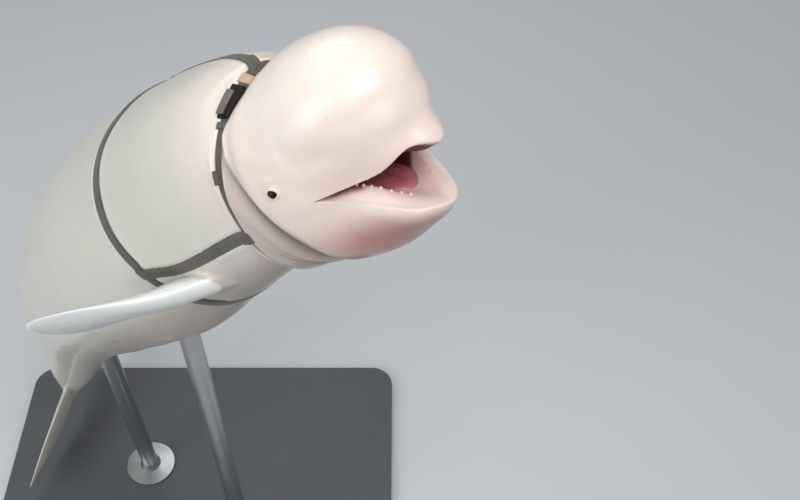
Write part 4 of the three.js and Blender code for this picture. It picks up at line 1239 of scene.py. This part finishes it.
class WhaleLook(bpy.types.PropertyGroup):
    skin_light: colour("Light skin", "Palest skin on the head", 0.9, 0.82, 0.74)
    # Mixed in by a large mottle and towards the lower head
    skin_cream: colour("Cream skin", "Warmer patches of the head", 0.82, 0.66, 0.58)
    skin_pink: colour("Pink skin", "Flushed skin of cheek and jaw", 0.8, 0.6, 0.54)
    # Reddish flush of the skin, darkened as painted shadow under the jaw
    skin_flush: colour("Flushed skin", "Deeper tint under the jaw", 0.4, 0.2, 0.17)
    skin_body: colour("Body skin", "Cooler skin of the body", 0.67, 0.65, 0.56)
    skin_moss: colour("Greenish skin", "Film on the skin of the body", 0.58, 0.61, 0.54)
    # Whitening of the flippers, painted light
    limb_painted_light_white: colour("Flipper white", "Paler skin of the flippers", 0.88, 0.9, 0.88)
    # Painted shade of folds and of the groove behind the jaw; also the colour of scars
    fold_shade_and_scar_grey: colour("Fold shade", "Darker skin in folds and scars", 0.24, 0.2, 0.19)
    gum_pale: colour("Pale gum", "Broad inner side of the lips", 0.78, 0.6, 0.56)
    lip_pink: colour("Lip pink", "Edge of the lips and gums", 0.78, 0.52, 0.48)
    mouth_red: colour("Mouth red", "Flesh inside the mouth", 0.34, 0.07, 0.08)
    tongue_mauve: colour("Tongue mauve", "Paler patches of the tongue", 0.5, 0.17, 0.18)
    # Painted shade of the inside of the mouth and shadow under the beak
    mouth_shade: colour("Deep mouth", "Deepest part of the mouth", 0.13, 0.02, 0.022)


class HarnessLook(bpy.types.PropertyGroup):
    lift: bpy.props.FloatProperty(
        name="Strap thickness", description="Height of a strap over the skin",
        default=0.004, unit="LENGTH", min=0.001,
    )
    webbing_dark: colour("Webbing", "Main colour of the webbing", 0.045, 0.04, 0.035)
    webbing_worn: colour("Worn webbing", "Faded and salty parts", 0.13, 0.115, 0.095)
    thread: colour("Thread", "Stitching along the edges", 0.2, 0.18, 0.15)


class StageLook(bpy.types.PropertyGroup):
    floor: colour("Floor", "Floor and backdrop", 0.7, 0.71, 0.72)
    base: colour("Base", "Paint of the base plate", 0.08, 0.085, 0.09)
    light: bpy.props.FloatProperty(
        name="Light", description="Strength of the main light", default=152.0, unit="POWER", min=0.0,
    )


# Operators
class WHALE_OT_skin(bpy.types.Operator):
    """Builds the whole skin in one piece: head, mouth, body, flippers and flukes"""
    bl_idname = "whale.skin"
    bl_label = "Skin"

    def execute(self, context):
        ob = build_skin_body()
        before = coords(ob)
        masks = {name: read_attribute(ob, name) for name in HEAD_MASKS + BODY_MASKS}
        for form in (build_flipper("left"), build_flipper("right"), build_flukes()):
            boolean_union(ob, form)
        co = coords(ob)
        for side in ("left", "right"):
            root, _, out, _ = flipper_frame(side)
            rel = (co - world(root)) * 1000
            near = (np.abs(rel @ out) < 55) & (np.linalg.norm(rel, axis=1) < 190)
            smooth_verts(ob, near, 0.5, 14)
        tail = place(np.array([-FLUKE_ROOT, 0, axis_point(4090)[2]]))
        smooth_verts(ob, np.linalg.norm(coords(ob) - tail, axis=1) < 0.14, 0.5, 12)
        lid_shape(ob)
        blowhole_shape(ob)
        carry_masks(ob, before, masks)
        face_out(ob)
        shade(ob)
        finish_piece(
            ob, skin_material(context.scene.whale_look), "skin",
            "head", "lower_jaw", "neck", "torso", "tail_stock",
            "fluke_left", "fluke_right", "flipper_left", "flipper_right",
        )
        return {"FINISHED"}


class WHALE_OT_tongue(bpy.types.Operator):
    """Builds the tongue"""
    bl_idname = "whale.tongue"
    bl_label = "Tongue"

    def execute(self, context):
        look = context.scene.whale_look
        rows = 60
        a = GAPE + math.radians(TONGUE["droop"])

        def build(theta, row):
            ang = np.pi * row / rows
            x0 = np.cos(ang) * TONGUE["long"]
            y0 = np.sin(ang) * np.cos(theta) * TONGUE["wide"]
            z0 = np.sin(ang) * np.sin(theta) * TONGUE["thick"]
            top = np.clip(np.sin(theta), 0, 1) * np.sin(ang)
            z0 -= TONGUE["groove"] * bell(y0, 9) * top
            z0 += TONGUE["ripple"] * np.sin(x0 / 6) * np.sin(y0 / 8) * top
            x = TONGUE["x"] + math.cos(a) * x0 + math.sin(a) * z0
            z = TONGUE["z"] - math.sin(a) * x0 + math.cos(a) * z0
            return place(np.stack([x, y0, z], -1))

        ob = sphere_grid("whale_tongue", 48, rows, build)[0]
        face_out(ob)
        shade(ob)
        m = plain_material(
            "tongue_flesh", look.mouth_red, look.tongue_mauve, (0.3, 0.5), scale=12, coat=0.3, bump=0.2
        )
        finish_piece(ob, m, "mouth", "tongue")
        return {"FINISHED"}


class WHALE_OT_teeth(bpy.types.Operator):
    """Builds the worn pegs of both jaws"""
    bl_idname = "whale.teeth"
    bl_label = "Teeth"

    def execute(self, context):
        made = [
            build_tooth(upper, sign, i)
            for upper in (True, False)
            for sign in (1, -1)
            for i in range(TEETH["count"])
        ]
        deselect()
        for tooth in made:
            tooth.select_set(True)
        bpy.context.view_layer.objects.active = made[0]
        bpy.ops.object.join()
        ob = bpy.context.object
        ob.name = ob.data.name = "whale_teeth"
        face_out(ob)
        shade(ob)
        ivory, worn = (0.8, 0.66, 0.56), (0.66, 0.5, 0.42)
        m = plain_material("tooth_ivory", ivory, worn, (0.25, 0.45), scale=60, coat=0.3)
        finish_piece(ob, m, "mouth")
        return {"FINISHED"}


class WHALE_OT_eyes(bpy.types.Operator):
    """Builds the two dark eyes behind their lids"""
    bl_idname = "whale.eyes"
    bl_label = "Eyes"

    def execute(self, context):
        base, other = (0.008, 0.005, 0.004), (0.016, 0.01, 0.008)
        m = plain_material("eye_dark", base, other, (0.12, 0.2), scale=40, gloss=0.2)
        for name, sign in (("left", 1), ("right", -1)):
            finish_piece(build_eye(f"whale_eye_{name}", sign), m, "eye", f"eye_{name}")
        return {"FINISHED"}


class WHALE_OT_harness(bpy.types.Operator):
    """Builds the webbing of the harness: neck strap, girth strap and two side straps"""
    bl_idname = "whale.harness"
    bl_label = "Harness"

    def execute(self, context):
        look = context.scene.harness_look
        m = webbing_material(look)
        lift = look.lift * 1000
        pieces = (
            (build_belt("harness_neck", NECK_STRAP, lift), "harness_neck_strap"),
            (build_belt("harness_girth", GIRTH_STRAP, lift), "harness_girth_strap"),
            (build_runner("harness_side_left", "left", lift), "harness_side_strap_left"),
            (build_runner("harness_side_right", "right", lift), "harness_side_strap_right"),
        )
        for ob, node in pieces:
            shade(ob, 40)
            finish_piece(ob, m, "webbing", node)
        return {"FINISHED"}


class WHALE_OT_buckle(bpy.types.Operator):
    """Builds the black plate on the neck strap"""
    bl_idname = "whale.buckle"
    bl_label = "Buckle"

    def execute(self, context):
        ob = build_plate("harness_buckle_plate", BUCKLE_ANGLES, 0, 30, 3.5, 14, 30, 0.003)
        base, worn = (0.006, 0.006, 0.006), (0.014, 0.013, 0.012)
        m = plain_material("buckle_black", base, worn, (0.5, 0.7), scale=30, bump=0.2, gloss=0.25)
        finish_piece(ob, m, "buckle", "harness_buckle")
        return {"FINISHED"}


# Loops on the neck strap: first and last angle, shift along the body, width, low and high face, colours
KEEPERS = {
    "tab": (112, 127, 8.5, 15, 13, 17, (0.1, 0.1, 0.08), (0.17, 0.17, 0.14)),
    "tan_loop": (99, 105, 0, 27, 2, 7, (0.5, 0.34, 0.2), (0.58, 0.41, 0.27)),
    "slide": (131, 135, 3, 22, 2, 9, (0.09, 0.085, 0.075), (0.13, 0.12, 0.1)),
    "lower_slide": (158, 166, 9, 15, 2, 9, (0.06, 0.05, 0.045), (0.1, 0.09, 0.08)),
    "end_loop": (199, 206, 2, 25, 5, 13, (0.08, 0.075, 0.07), (0.13, 0.12, 0.11)),
}


class WHALE_OT_keepers(bpy.types.Operator):
    """Builds the loops and the folded tab on the neck strap"""
    bl_idname = "whale.keepers"
    bl_label = "Keepers"

    def execute(self, context):
        for key, (first, last, *sizes, base, worn) in KEEPERS.items():
            ob = build_plate(f"harness_{key}", (first, last), *sizes, 16, 0.0012)
            m = plain_material(f"harness_{key}", base, worn, (0.5, 0.75), scale=40, bump=0.3)
            finish_piece(ob, m, "webbing")
        return {"FINISHED"}


class WHALE_OT_stand(bpy.types.Operator):
    """Gives the stand its finishes"""
    bl_idname = "whale.stand"
    bl_label = "Stand"

    def execute(self, context):
        look = context.scene.stage_look
        bright, dull = (0.5, 0.51, 0.52), (0.42, 0.43, 0.44)
        steel = plain_material("rod_steel", bright, dull, (0.25, 0.4), metallic=1.0, scale=6)
        worn = tuple(c * 1.3 for c in look.base)
        paint = plain_material("base_paint", look.base, worn, (0.4, 0.55), scale=3, bump=0.1)
        for name, m in (("stand_rod_front", steel), ("stand_rod_rear", steel), ("stand_base", paint)):
            use_material(frame["nodes"][name], m)
        return {"FINISHED"}


# Camera over the beak: its elevation in degrees, the beak in its own right, up and back directions in
# metres, and its focal length in widths of the picture
CAMERA = {"elevation": 50, "beak": (0.0722, 0.2591, -2.1662), "focal": 1.25, "sensor": 36}
# Lamps: place, size, share of the main light and tint
LAMPS = (
    ("key", (2.0, -2.6, 7.4), 3.0, 1.0, (1.0, 0.98, 0.95)),
    ("fill", (-4.5, -4.5, 5.0), 4.0, 1.15, (0.95, 0.98, 1.0)),
    ("rear", (-1.0, 3.5, 7.5), 4.0, 0.5, (1.0, 1.0, 1.0)),
)
LAMP_AIM = (0.6, -0.6, 3.2)
SKY_COLOUR = (0.86, 0.9, 0.95, 1)
SKY_STRENGTH = 0.46


def add_camera(scene):
    """Camera at the photo's viewing angle, placed from the beak."""
    elevation = math.radians(CAMERA["elevation"])
    right = np.array([1.0, 0, 0])
    up = np.array([0, math.sin(elevation), math.cos(elevation)])
    back = np.array([0, -math.cos(elevation), math.sin(elevation)])
    axes = np.array([right, up, back])
    cam = bpy.data.cameras.new("camera")
    cam.sensor_width = CAMERA["sensor"]
    cam.lens = CAMERA["sensor"] * CAMERA["focal"]
    cam.clip_end = 100
    ob = bpy.data.objects.new("camera", cam)
    scene.collection.objects.link(ob)
    m = Matrix(axes.T.tolist()).to_4x4()
    m.translation = Vector(ORIGIN - np.array(CAMERA["beak"]) @ axes)
    ob.matrix_world = m
    scene.camera = ob


class WHALE_OT_stage(bpy.types.Operator):
    """Adds the floor, backdrop, lights and camera"""
    bl_idname = "whale.stage"
    bl_label = "Stage"

    def execute(self, context):
        look = context.scene.stage_look
        deselect()
        bpy.ops.mesh.primitive_plane_add(size=60, location=(0, 0, 0))
        floor = bpy.context.object
        floor.name = floor.data.name = "floor"
        shaded = tuple(c * 0.97 for c in look.floor)
        use_material(floor, plain_material("floor_pale", look.floor, shaded, (0.6, 0.7), scale=0.5))
        add_camera(context.scene)
        for name, spot, size, share, tint in LAMPS:
            lamp = bpy.data.lights.new(name, "AREA")
            lamp.energy = look.light * share
            lamp.size = size
            lamp.color = tint
            ob = bpy.data.objects.new(name, lamp)
            context.scene.collection.objects.link(ob)
            ob.location = spot
            aim = Vector(LAMP_AIM) - Vector(spot)
            ob.rotation_euler = aim.to_track_quat("-Z", "Y").to_euler()
        sky = bpy.data.worlds.new("studio")
        sky.use_nodes = True
        background = sky.node_tree.nodes["Background"]
        background.inputs[0].default_value = SKY_COLOUR
        background.inputs[1].default_value = SKY_STRENGTH
        context.scene.world = sky
        context.scene.view_settings.view_transform = "Standard"
        return {"FINISHED"}


class WHALE_PT_panel(bpy.types.Panel):
    bl_label = "Beluga"
    bl_idname = "WHALE_PT_panel"
    bl_space_type = "VIEW_3D"
    bl_region_type = "UI"
    bl_category = "Beluga"

    def draw(self, context):
        col = self.layout.column()
        for op in STEPS:
            col.operator(op.bl_idname)


STEPS = (
    WHALE_OT_skin,
    WHALE_OT_tongue,
    WHALE_OT_teeth,
    WHALE_OT_eyes,
    WHALE_OT_harness,
    WHALE_OT_buckle,
    WHALE_OT_keepers,
    WHALE_OT_stand,
    WHALE_OT_stage,
)
GROUPS_OF_VALUES = (("whale_look", WhaleLook), ("harness_look", HarnessLook), ("stage_look", StageLook))


def register():
    for _, cls in GROUPS_OF_VALUES:
        bpy.utils.register_class(cls)
    for cls in STEPS + (WHALE_PT_panel,):
        bpy.utils.register_class(cls)
    for name, cls in GROUPS_OF_VALUES:
        setattr(bpy.types.Scene, name, bpy.props.PointerProperty(type=cls))


def unregister():
    for name, _ in GROUPS_OF_VALUES:
        delattr(bpy.types.Scene, name)
    for cls in (WHALE_PT_panel,) + STEPS[::-1]:
        bpy.utils.unregister_class(cls)
    for _, cls in GROUPS_OF_VALUES:
        bpy.utils.unregister_class(cls)


def main():
    register()
    for cls in STEPS:
        area, name = cls.bl_idname.split(".")
        if getattr(getattr(bpy.ops, area), name)() != {"FINISHED"}:
            raise RuntimeError(f"{cls.bl_label} did not finish")


if __name__ == "__main__":
    main()
